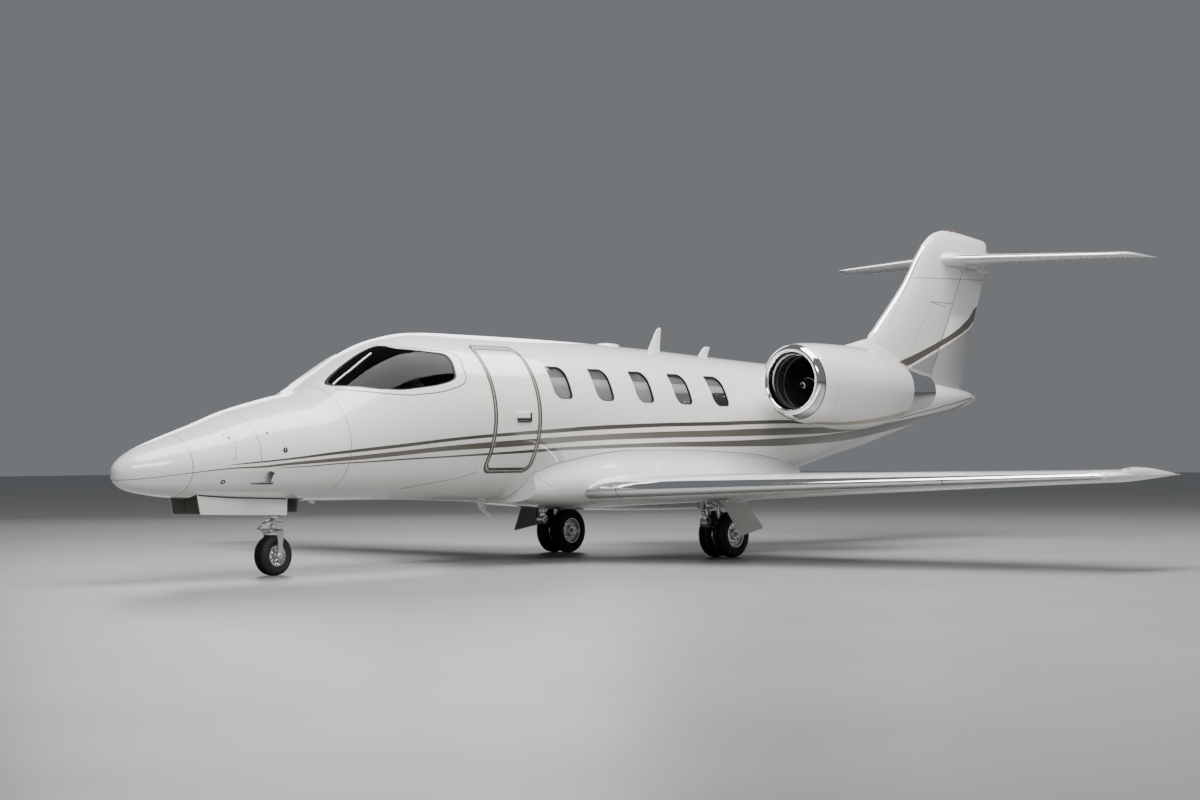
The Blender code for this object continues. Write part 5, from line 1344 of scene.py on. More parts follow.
# %% [markdown]
# ## Pylons
#
# A short thick wing holds each pod off the fuselage. It is cut by the skin and by the pod, so that
# nothing of it shows in the duct.

# %% Pylons
PYLON_LEAD, PYLON_TRAIL, PYLON_Z, PYLON_DEPTH = 9.75, 11.75, 2.01, 0.15
for name, side in SIDES:
    flat = np.ones(6)
    station, offset = section_grid(PYLON_LEAD * flat, PYLON_TRAIL * flat,
        PYLON_DEPTH / (PYLON_TRAIL - PYLON_LEAD) * flat)
    across = side * np.linspace(0.5, 1.3, 6)[:, None]
    pylon = new_piece(f"pylon_skin_{name}", lofted(placed(station, across, PYLON_Z + offset)), plain_pearl, sharp=40)
    pod = new_piece("pod tool", lofted(pod_grid(POD_OUT, stretch(9.3, POD_END, 40), side, -0.004)), plain_pearl)
    core = new_piece("skin tool", lofted(hull_grid(np.linspace(9.4, 12.4, 30), ring, 0.012)), plain_pearl)
    settle(carve(pylon, pod, core, sharp=40), f"pylon_{name}")
report("cowl", "fan", "pylon")

# %% [markdown]
# # Nose gear
#
# The leg is a shock strut: a painted cylinder with a bright piston sliding in it. The piston, fork,
# links and wheel steer, so they ride on the fork's body, and the wheel turns on its own.

# %% Nose leg, fixed part
NOSE_LEG = NOSE_X - 2.03
BAY_ROOF = 1.0997
NOSE_HUB_Z, NOSE_TYRE_RADIUS = 0.205, 0.205


def at_leg(ahead, y, z):
    """A point placed from the nose leg's axis."""
    return NOSE_LEG + ahead, y, z


def cross_bar(ahead, z, half, radius, sides=28):
    """A round bar across the nose leg."""
    return bar(at_leg(ahead, -half, z), at_leg(ahead, half, z), radius, sides=sides)


def lug(centre, across, radius, sides=24):
    """A round boss that lies across the aircraft."""
    shift = np.array([0, across / 2, 0])
    return bar(centre - shift, centre + shift, radius, sides=sides)


STRUT = [(0, 0.046), (0.36, 0.048), (0.38, 0.062), (0.396, 0.07), (0.455, 0.07), (0.47, 0.056), (0.49, 0.054),
    (0.5, 0.06), (0.5147, 0.058)]
HOSE = ((-0.052, 0.02, 1.08), (-0.06, 0.028, 0.86), (-0.078, 0.022, 0.7), (-0.066, 0.03, 0.6))
nose_leg = together(turned(STRUT, at_leg(0, 0, BAY_ROOF), (0, 0, -1), 40),
    *(bar(at_leg(0.5, side * 0.046, 1.05), at_leg(0.045, side * 0.04, 0.675), 0.016) for side in (1, -1)),
    cross_bar(0.44, 1, 0.062, 0.014), cross_bar(0.045, 0.675, 0.062, 0.02),
    box(at_leg(0.42, -0.06, 1), at_leg(0.56, 0.06, BAY_ROOF)),
    *(bar(at_leg(-0.055, side * 0.075, 0.69), at_leg(0.065, side * 0.075, 0.69), 0.021) for side in (1, -1)))
fit("nose_strut", nose_leg, brushed, "gear_steel", "nose_leg", bevel=0.002)
hoses = together(*(pipe([at_leg(a, side * y, z) for a, y, z in HOSE], 0.0065) for side in (1, -1)))
fit("nose_leg_hoses", hoses, tyre_rubber, "trim")

# %% Nose fork, piston and links
CHEEK = [(-0.036, 0.452), (0.04, 0.452), (0.036, 0.38), (0.026, 0.3), (0.03, 0.245), (0.036, 0.205), (0.028, 0.178),
    (0, 0.168), (-0.028, 0.178), (-0.036, 0.205), (-0.03, 0.245), (-0.032, 0.3), (-0.04, 0.38)]
PISTON = [(0, 0.034), (0.02, 0.036), (0.025, 0.062), (0.062, 0.062), (0.07, 0.04), (0.1, 0.038), (0.112, 0.054),
    (0.15, 0.054)]
CROWN = ((-0.1095, 0.432), (0.1095, 0.432), (0.1095, 0.45), (0.07, 0.476), (-0.07, 0.476), (-0.1095, 0.45))
KNEE = np.array(at_leg(0.185, 0, 0.482))


def in_profile(outline, x0, low, high):
    """An outline of (ahead, height) drawn across the aircraft from low to high."""
    return prism([(x0 + a, low, z) for a, z in outline], (0, high - low, 0))


def link_arm(start, end, wide, narrow, deep):
    """Two plates that come together, with a round boss at each end."""
    up = np.cross(unit(end - start), floats([0, 1, 0])) * deep
    plates = []
    for side in (1, -1):
        first, last = (place + [0, side * (half - 0.007), 0] for place, half in ((start, wide), (end, narrow)))
        plates.append(prism([first + up, first - up, last - up * 0.7, last + up * 0.7], (0, side * 0.007, 0)))
    return together(*plates, lug(start, 2 * wide, deep), lug(end, 2 * narrow + 0.012, deep * 0.8))


fork = together(turned(PISTON, at_leg(0, 0, 0.5847), (0, 0, -1), 40),
    prism([at_leg(-0.052, y, z) for y, z in CROWN], (0.104, 0, 0)),
    *(in_profile(CHEEK, NOSE_LEG, low, low + 0.018) for low in (0.0935, -0.1115)),
    cross_bar(0, NOSE_HUB_Z, 0.125, 0.02),
    *(bar(at_leg(0, side * 0.112, NOSE_HUB_Z), at_leg(0, side * 0.121, NOSE_HUB_Z), 0.029, sides=6)
    for side in (1, -1)))
fit("nose_fork_forging", fork, brushed, "gear_steel", "nose_fork", "nose_fork", bevel=0.002)
links = together(link_arm(np.array(at_leg(0.066, 0, 0.538)), KNEE, 0.044, 0.024, 0.016),
    link_arm(np.array(at_leg(0.058, 0, 0.446)), KNEE, 0.044, 0.016, 0.016),
    lug(np.array(at_leg(-0.058, 0, 0.54)), 0.12, 0.018))
fit("nose_torque_links", links, chrome, "gear_steel", body="nose_fork", bevel=0.0015)

# %% [markdown]
# ## Wheels
#
# A tyre is one closed ring, its tread cut with shallow grooves in the profile itself. The nose tyre
# has a chine, a small lip that throws water aside from the engines. A rim is a dished disc whose
# round holes are cut with bars.

# %% Tyre and rim profiles
AXLE_WAY = (0, 1, 0)
CHINE_HEIGHT = 0.55  # share of the side wall
SIDE_WALL = ((0.7, 0), (0.84, 0.04), (0.92, 0.2), (0.985, 0.4), (1, CHINE_HEIGHT), (0.975, 0.7), (0.9, 0.84),
    (0.74, 0.93), (0.55, 0.975))
GROOVE = ((0.0035, 0), (0.003, 0.006), (-0.003, 0.006), (-0.0035, 0))  # across, depth


def with_mirror(profile):
    """The profile of one half of a wheel, and its mirror image."""
    return profile + [(-a, r) for a, r in reversed(profile)]


def tyre_ring(centre, radius, rim, width, grooves, chine=0):
    """Closed profile of (across, radius) turned about the wheel's axis."""
    half, wall = width / 2, radius - rim
    profile = [(a * half + (chine if h == CHINE_HEIGHT else 0), rim + h * wall) for a, h in SIDE_WALL]
    for g in grooves:
        crown = radius - 0.02 * wall * (g / 0.5) ** 2
        profile += [(g * half + a, crown - deep) for a, deep in GROOVE]
    return turned(with_mirror(profile), centre, AXLE_WAY, 96, ring=True)


def holed_rim(name, profile, centre, ring_radius, hole, count, reach):
    """A rim with round holes through its web."""
    turn = 2 * np.pi * np.arange(count) / count
    places = zip(centre[0] + ring_radius * np.cos(turn), centre[2] + ring_radius * np.sin(turn))
    holes = together(*(bar((x, reach[0], z), (x, reach[1], z), hole, sides=20) for x, z in places))
    rim = new_piece(name, turned(profile, centre, AXLE_WAY, 72, ring=True), brushed, sharp=35)
    return carve(rim, new_piece("hole tool", holes, dark_metal), sharp=35)

# %% Nose wheel
NOSE_RIM = [(0.072, 0.0206), (0.072, 0.034), (0.066, 0.04), (0.032, 0.046), (0.024, 0.06), (0.026, 0.084),
    (0.044, 0.096), (0.06, 0.099), (0.066, 0.103), (0.066, 0.11), (0.058, 0.112)]
nose_hub = at_leg(0, 0, NOSE_HUB_Z)
tyre = tyre_ring(nose_hub, NOSE_TYRE_RADIUS, 0.1123, 0.16, (0.45, 0.16, -0.16, -0.45), 0.006)
fit("nose_tyre_ring", tyre, tyre_rubber, "rubber", "nose_tyre", "nose_wheel", sharp=50)
rim = holed_rim("nose_wheel_rim", with_mirror(NOSE_RIM), nose_hub, 0.07, 0.0105, 9, (-0.06, 0.06))
settle(rim, "nose_rim", "nose_wheel")
report("nose")

# %% [markdown]
# # Main gear
#
# Each main leg hangs from the wing: a forged post, a trailing arm that carries the axle between the
# twin wheels, and a shock strut from the axle back up to the wing.

# %% Main legs
MAIN_S, MAIN_Y, MAIN_HUB = 7.92, 1.253, 0.27
POST_S, TWIN = 7.58, 0.115
POST_COLLAR = [(0, 0.05), (0.012, 0.058), (0.04, 0.058), (0.052, 0.048)]
AXLE_EYE = [(-0.041, 0.0309), (0.041, 0.0309), (0.041, 0.052), (0.036, 0.056), (-0.036, 0.056), (-0.041, 0.052)]
BRAKE_LINE = ((0.052, 0.02, 0.72), (0.066, 0.022, 0.56), (0.04, 0.06, 0.44), (-0.08, 0.037, 0.395), (-0.2, 0.037, 0.33),
    (POST_S - MAIN_S + 0.05, 0.034, 0.292))


def main_leg(x, y, post):
    """Forged post and head, trailing arm with its elbow, and the axle eye."""
    elbow = np.array([post, y, 0.41])
    arm = [(-0.045, 0.372), (x - post + 0.01, 0.222), (x - post - 0.02, 0.318), (-0.02, 0.45)]
    head = [(-0.072, 0.66), (0.068, 0.66), (0.05, 0.56), (-0.055, 0.56)]
    return together(bar((post, y, 0.66), (post, y, 0.42), 0.046, 0.04, sides=36),
        turned(POST_COLLAR, (post, y, 0.545), (0, 0, -1), 36),
        box((post - 0.07, y - 0.105, 0.655), (post + 0.065, y + 0.105, 0.735)),
        in_profile(head, post, y - 0.055, y + 0.055), bar((post, y - 0.11, 0.61), (post, y + 0.11, 0.61), 0.034),
        lug(elbow, 0.104, 0.056, 36), lug(elbow, 0.124, 0.022, 6), in_profile(arm, post, y - 0.034, y + 0.034),
        turned(AXLE_EYE, (x, y, MAIN_HUB), AXLE_WAY, 40, ring=True))


for name, side in SIDES:
    x, y, post = NOSE_X - MAIN_S, side * MAIN_Y, NOSE_X - POST_S
    fit(f"main_leg_forging_{name}", main_leg(x, y, post), brushed, "gear_steel", f"main_leg_{name}", bevel=0.003)
    low, high = np.array([x + 0.078, y, 0.318]), np.array([x + 0.115, y, 0.745])
    middle = low + 0.42 * (high - low)
    shock = together(bar(middle, high, 0.029), bar(middle - 0.03 * unit(high - low), middle, 0.034),
        lug(low, 0.06, 0.026), lug(high - [0, 0, 0.03], 0.07, 0.03))
    fit(f"main_shock_strut_{name}", shock, brushed, "gear_steel", bevel=0.0015)
    fit(f"main_shock_piston_{name}", bar(low, middle, 0.019), chrome, "polished")
    line = [(post + a, y + side * b, z) for a, b, z in BRAKE_LINE]
    fit(f"brake_line_{name}", pipe(line, 0.0055), tyre_rubber, "trim")

# %% Main wheels
MAIN_RIM = [(0.0535, 0.03), (0.0535, 0.095), (0.075, 0.104), (0.078, 0.128), (0.062, 0.138), (0.0535, 0.142),
    (0.0535, 0.15), (0.06, 0.155), (0.17, 0.155), (0.1765, 0.151), (0.1765, 0.143), (0.168, 0.137), (0.146, 0.131),
    (0.138, 0.118), (0.136, 0.076), (0.142, 0.062), (0.166, 0.055), (0.17, 0.05), (0.17, 0.03)]
DISC = ((0.0555, 0.034), (0.0555, 0.088), (0.0475, 0.09), (0.0475, 0.034))
for name, side in SIDES:
    body, y = f"main_wheels_{name}", side * MAIN_Y
    hub = (NOSE_X - MAIN_S, y, MAIN_HUB)
    for place, shift in (("inner", -side), ("outer", side)):
        tyre = tyre_ring((hub[0], y + shift * TWIN, MAIN_HUB), MAIN_HUB, 0.1553, 0.135, (0.46, 0.16, -0.16, -0.46))
        fit(f"main_tyre_{name}_{place}_ring", tyre, tyre_rubber, "rubber", f"main_tyre_{name}_{place}", body, sharp=50)
        rim = holed_rim(f"main_rim_{name}_{place}", [(shift * a, r) for a, r in MAIN_RIM], hub, 0.097, 0.0125, 10,
            sorted((y + shift * 0.1, y + shift * 0.16)))
        settle(rim, f"main_rims_{name}", body)
    axle = together(*(bar((hub[0], y + first, MAIN_HUB), (hub[0], y + last, MAIN_HUB), radius, sides=sides)
        for first, last, radius, sides in ((-0.168, 0.168, 0.03, 28), (0.16, 0.1775, 0.036, 6),
        (-0.16, -0.1775, 0.036, 6))))
    fit(f"main_axle_{name}", axle, grey_metal, "gear_steel", body=body, bevel=0.002)
    discs = together(*(turned([(s * a, r) for a, r in DISC], hub, AXLE_WAY, ring=True) for s in (1, -1)))
    fit(f"brake_discs_{name}", discs, dark_metal, "gear_steel", body=body)
report("main", "brake")

# %% [markdown]
# ## Gear doors
#
# The doors hang open beside their wheels. Each is a plate with a rim and a paler inside, and two
# arms or hinges carry it.

# %% Nose gear doors
def nose_door_shape(side, inner, outer, edge):
    """The door's outline of (station, height), with its lower corners rounded off."""
    outline = rounded([(0.85 + edge, 0.86 - edge), (2.04 - edge, 0.86 - edge), (2.025 - edge, 0.612 + edge),
        (0.9 + edge, 0.642 + edge)], (0.004, 0.004, 0.012, 0.012), 5)
    return side_prism(outline, side, inner, outer)


for name, side in SIDES:
    fit(f"nose_door_skin_{name}", nose_door_shape(side, 0.205, 0.2097, 0), plain_pearl, "composite_paint",
        f"nose_gear_door_{name}")
    near, far = sorted((side * 0.172, side * 0.192))
    ribs = (box((NOSE_X - s - 0.012, near, 0.68), (NOSE_X - s + 0.012, far, 0.855)) for s in (1.05, 1.45, 1.85))
    liner = together(nose_door_shape(side, 0.19, 0.2052, 0.0025), *ribs)
    fit(f"nose_door_liner_{name}", liner, primer, "trim", bevel=0.0015)
    s = np.linspace(0.87, 2.02, 24)
    belly, _, half, middle = at_rows(HULL, s).T
    brow = middle - (middle - belly) * np.sqrt(1 - (0.21 / half) ** 2)
    strip = np.concatenate([np.column_stack([s, brow + 0.004]), np.column_stack([s, brow - 0.011])[::-1]])
    fit(f"nose_door_hinge_line_{name}", side_prism(strip, side, 0.2092, 0.2106), seal_black, "trim")
tail_plate = [(-0.01, 0.652), (0.01, 0.64), (0.012, 1.099), (-0.012, 1.099)]
fit("nose_bay_rear_plate", in_profile(tail_plate, NOSE_X - 2.19, -0.186, 0.186), primer, "trim", bevel=0.002)

# %% Main gear doors
LEAN = (1.7 - 1.52) / (0.64 - 0.33)
MAIN_DOOR = rounded([(7.53, 0.64), (7.98, 0.64), (8.1, 0.345), (7.6, 0.265)], (0.01, 0.01, 0.035, 0.025), 6)


def on_door(station, height, side, lift=0):
    return np.array([NOSE_X - station, side * (1.52 + LEAN * (0.64 - height) + lift), height])


def door_plate(outline, side, inner, outer):
    return lofted(np.array([[on_door(s, z, side, lift) for s, z in outline] for lift in (inner, outer)]))


for name, side in SIDES:
    y, post = side * MAIN_Y, NOSE_X - POST_S
    fit(f"main_door_skin_{name}", door_plate(MAIN_DOOR, side, 0, 0.009), plain_pearl, "composite_paint",
        f"main_gear_door_{name}", bevel=0.002)
    fit(f"main_door_liner_{name}", door_plate(shrunk(MAIN_DOOR, 0.016), side, -0.009, 0.001), liner_grey_and_cove_shade, "trim",
        bevel=0.0015)
    struts = [bar((post - 0.04, y + side * out, z), on_door(POST_S + s, foot, side, lift), radius)
        for out, z, s, foot, lift, radius in ((0.1, 0.64, 0.04, 0.585, -0.006, 0.011),
        (0.1, 0.64, 0.18, 0.585, -0.006, 0.011), (0.098, 0.602, 0.04, 0.602, -0.004, 0.013))]
    hinges = [bar(foot, foot + [0, 0, 0.055], 0.012) for foot in (on_door(s, 0.628, side, -0.02) for s in (7.66, 7.9))]
    fit(f"main_door_links_{name}", together(*struts, *hinges), brushed, "gear_steel")
report("door", "bay")

# %% [markdown]
# # Aerials, probes and lamps
#
# Blade aerials stand on the crown and hang from the belly: flat fins with rounded noses, so the wing
# section serves again, shrunk to a few millimetres. Probes and ports sit where the air is clean,
# on the sides of the nose.

# %% Blade aerials, the crown dome and the belly beacon
def blade_aerial(name, rows, thick):
    """Section at each (height, lead, trail); the last rows close the tip."""
    rows = floats(rows)
    share = np.linspace(0, 1, 14)
    height = rows[0, 0] + (rows[-1, 0] - rows[0, 0]) * share
    order = rows[np.argsort(rows[:, 0])]
    lead, trail = (np.interp(height, order[:, 0], order[:, k]) for k in (1, 2))
    round_off = np.sqrt(np.clip(1 - np.clip((share - 0.86) / 0.15, 0, 1) ** 2, 0.05, 1))
    station, offset = section_grid(lead + 0.03 * (1 - round_off), trail, thick * round_off / (trail - lead), 0.001)
    fit(name, lofted(placed(station, offset, height[:, None])), plain_pearl, "composite_paint", sharp=45)


def stretched(shape, centre, scale):
    """A shape made longer or flatter about a point."""
    points, faces = shape
    return (points - centre) * floats(scale) + centre, faces


def domed(name, profile, spot, up, scale, sides, finish, slot):
    """A small dome: a turned profile, stretched along the aircraft."""
    dome = stretched(turned(profile, spot, up, sides), spot, scale)
    fit(name, dome, finish, slot, sharp=50)


def skin_spot(station, angle):
    """The point of the skin on the plane of symmetry, on the crown or the belly."""
    return np.array([NOSE_X - station, 0, hull_at(station, angle)[2]])


blade_aerial("crown_aerial", [(2.36, 8.02, 8.3), (2.728, 8.265, 8.335)], 0.024)
blade_aerial("rear_crown_aerial", [(2.36, 9.02, 9.23), (2.525, 9.19, 9.31)], 0.022)
blade_aerial("belly_aerial", [(0.74, 5.02, 5.17), (0.6, 5.1, 5.2), (0.5, 5.26, 5.31)], 0.02)
DOME = [(-0.06, 0.105), (0, 0.105), (0.012, 0.098), (0.024, 0.078), (0.03, 0.045), (0.032, 0.004)]
BLISTER = [(-0.02, 0.03), (0.01, 0.03), (0.03, 0.024), (0.04, 0.012), (0.043, 0.002)]
domed("crown_dome", DOME, skin_spot(7.325, math.pi / 2), (0, 0, 1), (1.75, 1, 1), 48, plain_pearl, "composite_paint")
domed("belly_beacon", BLISTER, skin_spot(2.57, -math.pi / 2), (0, 0, -1), (1.6, 1, 1), 36, lamp_glass, "glazing")

# %% Probes and ports on the nose
def angle_at(station, height):
    """Angle round the section, in radians, at which the port skin has a height."""
    rise, _, middle = frame_sizes(station, height)
    return math.asin(float(np.clip((height - middle) / rise, -1, 1)[0]))


def skin_disc(station, height, side, radius, proud):
    """A small round plate that lies on the skin."""
    angle = angle_at(station, height)
    spot = hull_at(station, angle if side > 0 else math.pi - angle)
    return turned([(-0.004, radius), (proud * 0.6, radius), (proud, radius * 0.86)], spot,
        hull_normals(spot[None, :])[0], 32)


PORTS = ((1.648, 1.266, 0.027), (1.011, 0.959, 0.026), (1.097, 1.385, 0.013), (1.06, 1.415, 0.008),
    (1.497, 1.434, 0.012))
TUBE = [(0, 0.004), (0.012, 0.0115), (0.13, 0.0115), (0.29, 0.0075), (0.3, 0.005)]
TUBE_Y, TUBE_Z, STRUT_ROOT = 0.6, 0.942, 1.056


def pitot_strut(side):
    """A small wing section that curves out and down from the skin to the tube."""
    share = np.linspace(0, 1, 5)
    lead, trail = 1.48 - 0.11 * share ** 0.8, 1.58 - 0.125 * share ** 0.8
    root_y = hull_side(1.54, STRUT_ROOT)[0] - 0.012
    station, offset = section_grid(lead, trail, (0.018 - 0.006 * share) / (trail - lead), 0.001)
    out = (root_y + (TUBE_Y - root_y) * share ** 1.3)[:, None]
    height = (STRUT_ROOT + (TUBE_Z - STRUT_ROOT) * share)[:, None]
    return lofted(placed(station, side * (out + offset * 0.75), height + offset * 0.65))


for name, side in SIDES:
    fit(f"static_ports_{name}", together(*(skin_disc(s, z, side, r, 0.003) for s, z, r in PORTS)), dark_metal,
        "gear_steel")
    hearts = together(*(skin_disc(s, z, side, r * 0.45, 0.0045) for s, z, r in PORTS[:2]))
    fit(f"static_port_hearts_{name}", hearts, brushed, "gear_steel")
    tube = turned(TUBE, (NOSE_X - 1.49, side * TUBE_Y, TUBE_Z), (1, 0, 0), 24)
    fit(f"pitot_probe_{name}", together(pitot_strut(side), tube), probe_metal, "polished")

# %% Fittings on the tail, and the beacon
BULLET = [(0, 0.004), (0.02, 0.02), (0.08, 0.03), (0.2, 0.032), (0.3, 0.024), (0.345, 0.006)]
BEACON = [(-0.02, 0.022), (0.014, 0.022), (0.03, 0.018), (0.04, 0.009), (0.0425, 0.001)]
TAIL_LAMP = [(-0.02, 0.022), (0.012, 0.022), (0.022, 0.014), (0.024, 0.002)]
domed("tail_bullet", BULLET, np.array([NOSE_X - 15.66, 0, 3.822]), (-1, 0, 0), (1, 0.9, 1), 32, plain_pearl,
    "composite_paint")
domed("fin_beacon", BEACON, np.array([NOSE_X - 14.95, 0, 4.318]), (0, 0, 1), (2, 1, 1), 36, red_glass, "glazing")
domed("tail_lamp", TAIL_LAMP, np.array([NOSE_X - 15.955, 0, 4.1]), (-1, 0, 0), (1, 0.7, 1.6), 28, lamp_glass, "glazing")

# %% [markdown]
# ## Wing tips
#
# A raised cap runs along each tip chord. Its front is a clear cover over the coloured lamp, and a
# white recognition lamp sits in the leading edge just inboard of it.

# %% Tip caps and lamps
TIP_CAP = floats([  # station, height of the ridge over the wing's plane, half width, centre's distance
    (7.4, 0.01, 0.02, 6.545), (7.5, 0.042, 0.065, 6.56), (7.62, 0.074, 0.095, 6.57), (7.8, 0.086, 0.102, 6.574),
    (8.05, 0.078, 0.098, 6.578), (8.3, 0.054, 0.082, 6.592), (8.52, 0.022, 0.05, 6.62), (8.6, 0.006, 0.02, 6.64)])
LENS = [(-0.05, 0.006), (-0.04, 0.026), (-0.015, 0.04), (0.015, 0.042), (0.04, 0.03), (0.052, 0.012), (0.055, 0.002)]
BULB = [(-0.028, 0.002), (-0.02, 0.014), (0, 0.018), (0.02, 0.014), (0.028, 0.002)]
DRAIN = [(0, 0.003), (0.03, 0.018), (0.1, 0.03), (0.24, 0.034), (0.4, 0.022), (0.47, 0.003)]


def tip_cap(side, first, last):
    """Ridge on the tip: y = centre + w cos a, z = plane + h sin^.9 a above, and a shallow belly below."""
    stations = np.linspace(first, last, 40)
    ridge, half, centre = columns_at(TIP_CAP, stations)
    a = round_angles(48)[None, :]
    rise = np.where(np.sin(a) > 0, ridge, 0.34 * ridge)
    z = 0.968 + rise * np.sign(np.sin(a)) * np.abs(np.sin(a)) ** 0.9
    return lofted(placed(stations[:, None], side * (centre + half * np.cos(a)), z))


for (name, side), glass in zip(SIDES, (red_glass, green_glass)):
    fit(f"tip_cap_{name}", tip_cap(side, 7.66, 8.6), plain_pearl, "composite_paint", sharp=40)
    fit(f"tip_lamp_cover_{name}", tip_cap(side, 7.42, 7.657), lamp_glass, "glazing", sharp=40)
    spot = np.array([NOSE_X - 7.335, side * 6.47, 0.968])
    lens = stretched(turned(LENS, spot, (1, side * 0.3, 0), 36), spot, (1, 1.75, 0.95))
    fit(f"recognition_lamp_{name}", lens, lens_white, "glazing", sharp=60)
    bulb = turned(BULB, (NOSE_X - 7.56, side * 6.575, 0.992), (1, 0, 0), 24)
    fit(f"position_lamp_{name}", bulb, glass, "glazing", sharp=60)
    drain = turned(DRAIN, (NOSE_X - 7.1, side * 5.05, 0.872), (-1, 0, 0), 32)
    fit(f"drain_fairing_{name}", drain, plain_pearl, "composite_paint", sharp=50)
report("aerial", "lamp", "tip", "static", "beacon")

# %% [markdown]
# # Cabin and flight deck
#
# The inside is seen only through tinted glass and the open door, so the shapes count more than the
# stitching: thick padded seats on their boxes, a panel with a hood and dark screens, and carpet.

# %% Padded seats
FLOOR_TOP = 1.06


def cushion(low, high, puff):
    """A padded block: a ball whose sines and cosines are taken to a power, which squares it up."""
    low, high = floats(low), floats(high)
    u = np.linspace(-math.pi / 2, math.pi / 2, 15)[1:-1, None]
    v = np.linspace(-math.pi, math.pi, 28, endpoint=False)[None, :]
    cos_u, sin_u, cos_v, sin_v = (np.sign(w) * np.abs(w) ** puff for w in (np.cos(u), np.sin(u), np.cos(v), np.sin(v)))
    return lofted((low + high) / 2 + points_of(cos_u * cos_v, cos_u * sin_v, sin_u) * (high - low) / 2)


def tilted(shape, pivot, degrees):
    """A shape leaned about a line across the aircraft."""
    points, faces = shape
    turn, away = math.radians(degrees), points - pivot
    x = away[:, 0] * math.cos(turn) - away[:, 2] * math.sin(turn)
    z = away[:, 0] * math.sin(turn) + away[:, 2] * math.cos(turn)
    return pivot + np.stack([x, away[:, 1], z], axis=-1), faces


def seat(station, facing, y, width):
    """Cushion, back, headrest and two arms, facing forwards (1) or aft (-1)."""
    x, half = NOSE_X - station, width / 2

    def block(ahead, across, height, power=0.35):
        (x0, x1), (y0, y1), (z0, z1) = sorted(x + facing * a for a in ahead), across, height
        return cushion((x0, y + y0, FLOOR_TOP + z0), (x1, y + y1, FLOOR_TOP + z1), power)

    def centred(inset):
        return inset - half, half - inset

    def at_arm(side, thick):
        return side * (half - 0.03) - thick, side * (half - 0.03) + thick

    back = together(block((-0.32, -0.17), centred(0.03), (0.34, 0.9)),
        block((-0.29, -0.15), centred(0.1), (0.45, 0.78)), block((-0.31, -0.18), centred(0.11), (0.8, 0.935)))
    arms = [block((-0.22, 0.2), at_arm(side, 0.028), (0.46, 0.56)) for side in (1, -1)]
    panels = [block((-0.2, 0.17), at_arm(side, 0.018), (0.26, 0.5), 0.2) for side in (1, -1)]
    pivot = np.array([x - facing * 0.2, y, FLOOR_TOP + 0.42])
    return together(block((-0.2, 0.27), centred(0.055), (0.29, 0.43)), tilted(back, pivot, -11 * facing), *arms,
        *panels)

# %% Floor, seats and their boxes
CREW_SEAT, CREW_Y, CABIN_Y = 3.5, 0.35, 0.39
CABIN_SEATS = ((5.85, -1), (7.15, 1), (8.15, 1))  # station, which way the seat faces
CARPET_DEPTH = 0.04


def seat_box(station, y, half_long, half_wide):
    return box((NOSE_X - station - half_long, y - half_wide, FLOOR_TOP + 0.0003),
        (NOSE_X - station + half_long, y + half_wide, FLOOR_TOP + 0.31))


floor_s = np.linspace(2.43, 8.97, 50)
edge = np.minimum(0.9, hull_side(floor_s, np.full(50, FLOOR_TOP - CARPET_DEPTH), 0.0612))[:, None]
floor_top = placed(floor_s[:, None], edge * np.linspace(-1, 1, 9)[None, :], FLOOR_TOP)
fit("cabin_carpet_floor", slab(floor_top, floor_top - [0, 0, CARPET_DEPTH]), carpet, "trim", "cabin_floor")

crew = together(*(seat(CREW_SEAT, 1, side * CREW_Y, 0.44) for side in (1, -1)))
fit("crew_seat_cushions", crew, leather, "hide", "crew_seats", sharp=60)
boxes = [seat_box(3.48, side * CREW_Y, 0.14, 0.14) for side in (1, -1)]
for name, side in SIDES:
    row = together(*(seat(station, facing, side * CABIN_Y, 0.46) for station, facing in CABIN_SEATS))
    fit(f"cabin_seat_cushions_{name}", row, leather, "hide", f"cabin_seats_{name}", sharp=60)
    boxes += [seat_box(station, side * CABIN_Y, 0.18, 0.15) for station, _ in CABIN_SEATS]
fit("seat_boxes", together(*boxes), dark_trim, "trim", bevel=0.012)

# %% Instrument panel, pedestal and wheels
HOOD = rounded([(2.66, 1.7), (2.66, 1.775), (3, 1.815), (3, 1.785), (2.9, 1.755)], (0.015, 0.02, 0.01, 0.01, 0.015), 4)
PANEL_FOOT, PANEL_TOP = (2.84, 1.42), (2.885, 1.745)  # the panel's sloping face
PANEL = ((2.66, PANEL_FOOT[1]), (2.66, 1.72), PANEL_TOP, PANEL_FOOT)
PEDESTAL = ((2.7, 1.0603), (2.7, 1.5), (2.83, 1.5), (3.2, 1.36), (3.2, 1.0603))


def panel_face(y0, y1, z0, z1, lift):
    """A flat plate on the sloping face of the panel."""
    slope = (PANEL_TOP[0] - PANEL_FOOT[0]) / (PANEL_TOP[1] - PANEL_FOOT[1])
    corners = [(NOSE_X - (PANEL_FOOT[0] + slope * (z - PANEL_FOOT[1])) - lift, y, z)
        for y, z in ((y0, z0), (y1, z0), (y1, z1), (y0, z1))]
    return prism(corners, (lift + 0.004, 0, 0))


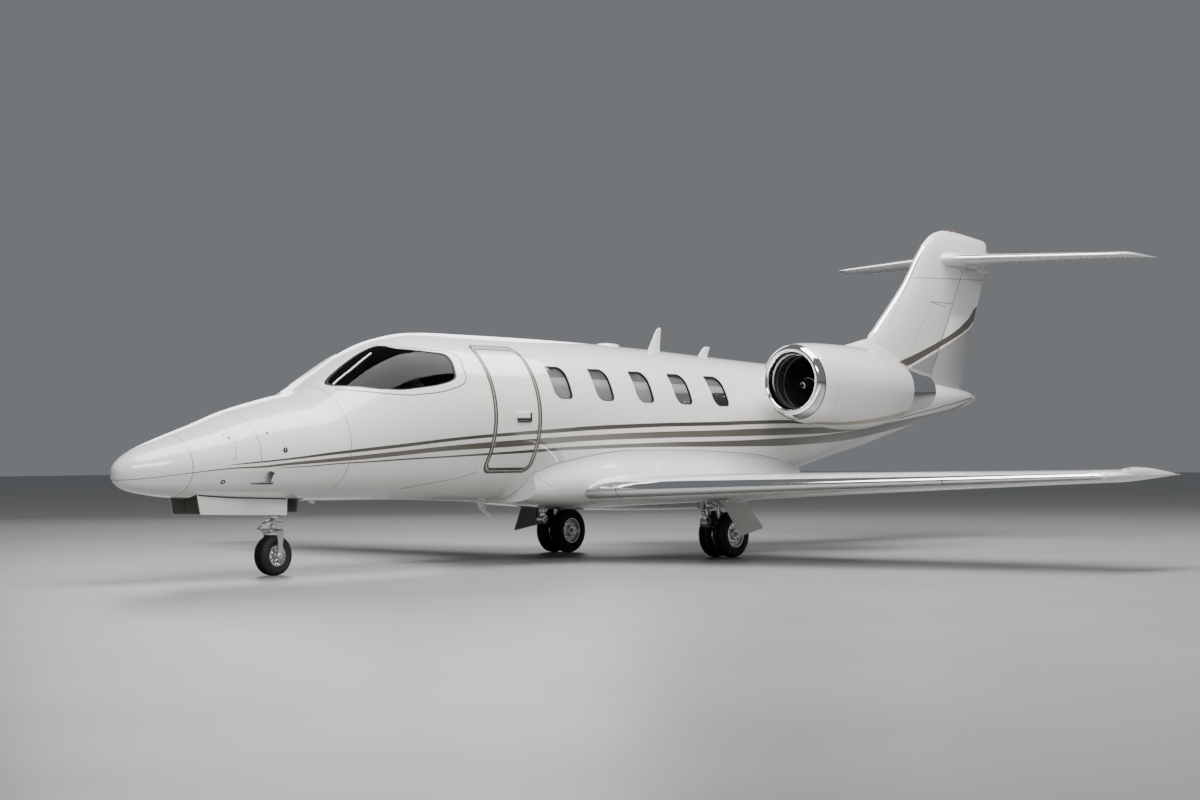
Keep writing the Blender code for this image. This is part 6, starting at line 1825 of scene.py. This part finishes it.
panel = together(*(prism([(NOSE_X - s, -half, z) for s, z in outline], (0, 2 * half, 0))
    for outline, half in ((PANEL, 0.45), (HOOD, 0.46), (PEDESTAL, 0.09))))
fit("instrument_hood", panel, dark_trim, "trim", "instrument_panel", bevel=0.006)
screens = together(*(panel_face(y - 0.095, y + 0.095, 1.5, 1.69, 0.003) for y in (-0.33, -0.11, 0.11, 0.33)))
fit("flight_screens", screens, screen_glass, "trim", bevel=0.003)
yokes = []
for y in (0.33, -0.33):
    hub = np.array([NOSE_X - 3.02, y, 1.47])
    yokes += [bar((NOSE_X - 2.85, y, 1.46), hub, 0.014), bar(hub - [0, 0.1, 0], hub + [0, 0.1, 0], 0.013),
        *(bar(hub + [0, s * 0.1, -0.01], hub + [0, s * 0.115, 0.1], 0.014, 0.011) for s in (1, -1))]
fit("control_wheels", together(*yokes), dark_trim, "trim")
print("pieces so far", len(made), "faces", sum(made.values()))

# %% [markdown]
# # Studio
#
# A pale floor runs to a pale backdrop. One very large soft light hangs overhead, a second comes from
# beyond the port wing and a third from the far side, so the clear coat shows long calm reflections
# and the shadows stay soft.

# %% Floor and lights
FLOOR_REACH = 90
floor_finish = new_finish("studio_floor", (0.26, 0.26, 0.255), 0.36, grain=0.15, grain_size=0.6)
floor_corners = points_of(FLOOR_REACH * np.array([-1, 1, 1, -1]), FLOOR_REACH * np.array([-1, -1, 1, 1]), 0)
floor = new_piece("studio_floor", (floor_corners, [np.array([[0, 1, 2, 3]])]), floor_finish)
floor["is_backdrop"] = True
world = bpy.data.worlds.new("studio air")
bpy.context.scene.world = world
world.use_nodes = True
air = world.node_tree.nodes["Background"]
air.inputs["Color"].default_value = (0.86, 0.9, 0.95, 1)
air.inputs["Strength"].default_value = 0.2


def soft_light(name, place, aim, size, watts, colour):
    lamp = bpy.data.lights.new(name, "AREA")
    lamp.shape = "RECTANGLE"
    lamp.size, lamp.size_y = size
    lamp.energy, lamp.color = watts, colour
    holder = bpy.data.objects.new(name, lamp)
    bpy.context.scene.collection.objects.link(holder)
    holder.location = place
    holder.rotation_euler = (Vector(aim) - Vector(place)).to_track_quat("-Z", "Y").to_euler()


soft_light("overhead softbox", (0, 3, 13), (0, 0, 1.5), (20, 8), 5000, (1, 0.985, 0.96))
soft_light("side softbox", (12, 14, 11), (0, 0, 2), (12, 4), 2400, (1, 0.99, 0.97))
soft_light("far side softbox", (-8, -14, 9), (0, 0, 1.5), (12, 6), 1000, (0.97, 0.985, 1))
print("lights", len(bpy.data.lights))

# %% [markdown]
# ## Camera
#
# The camera stands ahead of the port wing tip, a little above knee height, with a short telephoto
# lens. Its three axes and place were fitted to the photograph's own lines.

# %% Camera at the photograph's place
camera_data = bpy.data.cameras.new("camera")
camera_data.sensor_width, camera_data.lens, camera_data.clip_end = 36, 72.34, 400
camera = bpy.data.objects.new("camera", camera_data)
bpy.context.scene.collection.objects.link(camera)
right, up, back = (Vector(v) for v in ((-0.64216, 0.76656, -0.00468), (0.01305, 0.01703, 0.99977),
    (0.76646, 0.64195, -0.02094)))
axes = Matrix((right, up, back)).transposed().to_4x4()
axes.translation = (22.809, 18.186, 1.247)
camera.matrix_world = axes
bpy.context.scene.camera = camera

# %% Measure the box of the visible pieces, and finish
low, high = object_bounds()
print("visual box", [round(v, 3) for v in low], [round(v, 3) for v in high], "pieces", len(made))
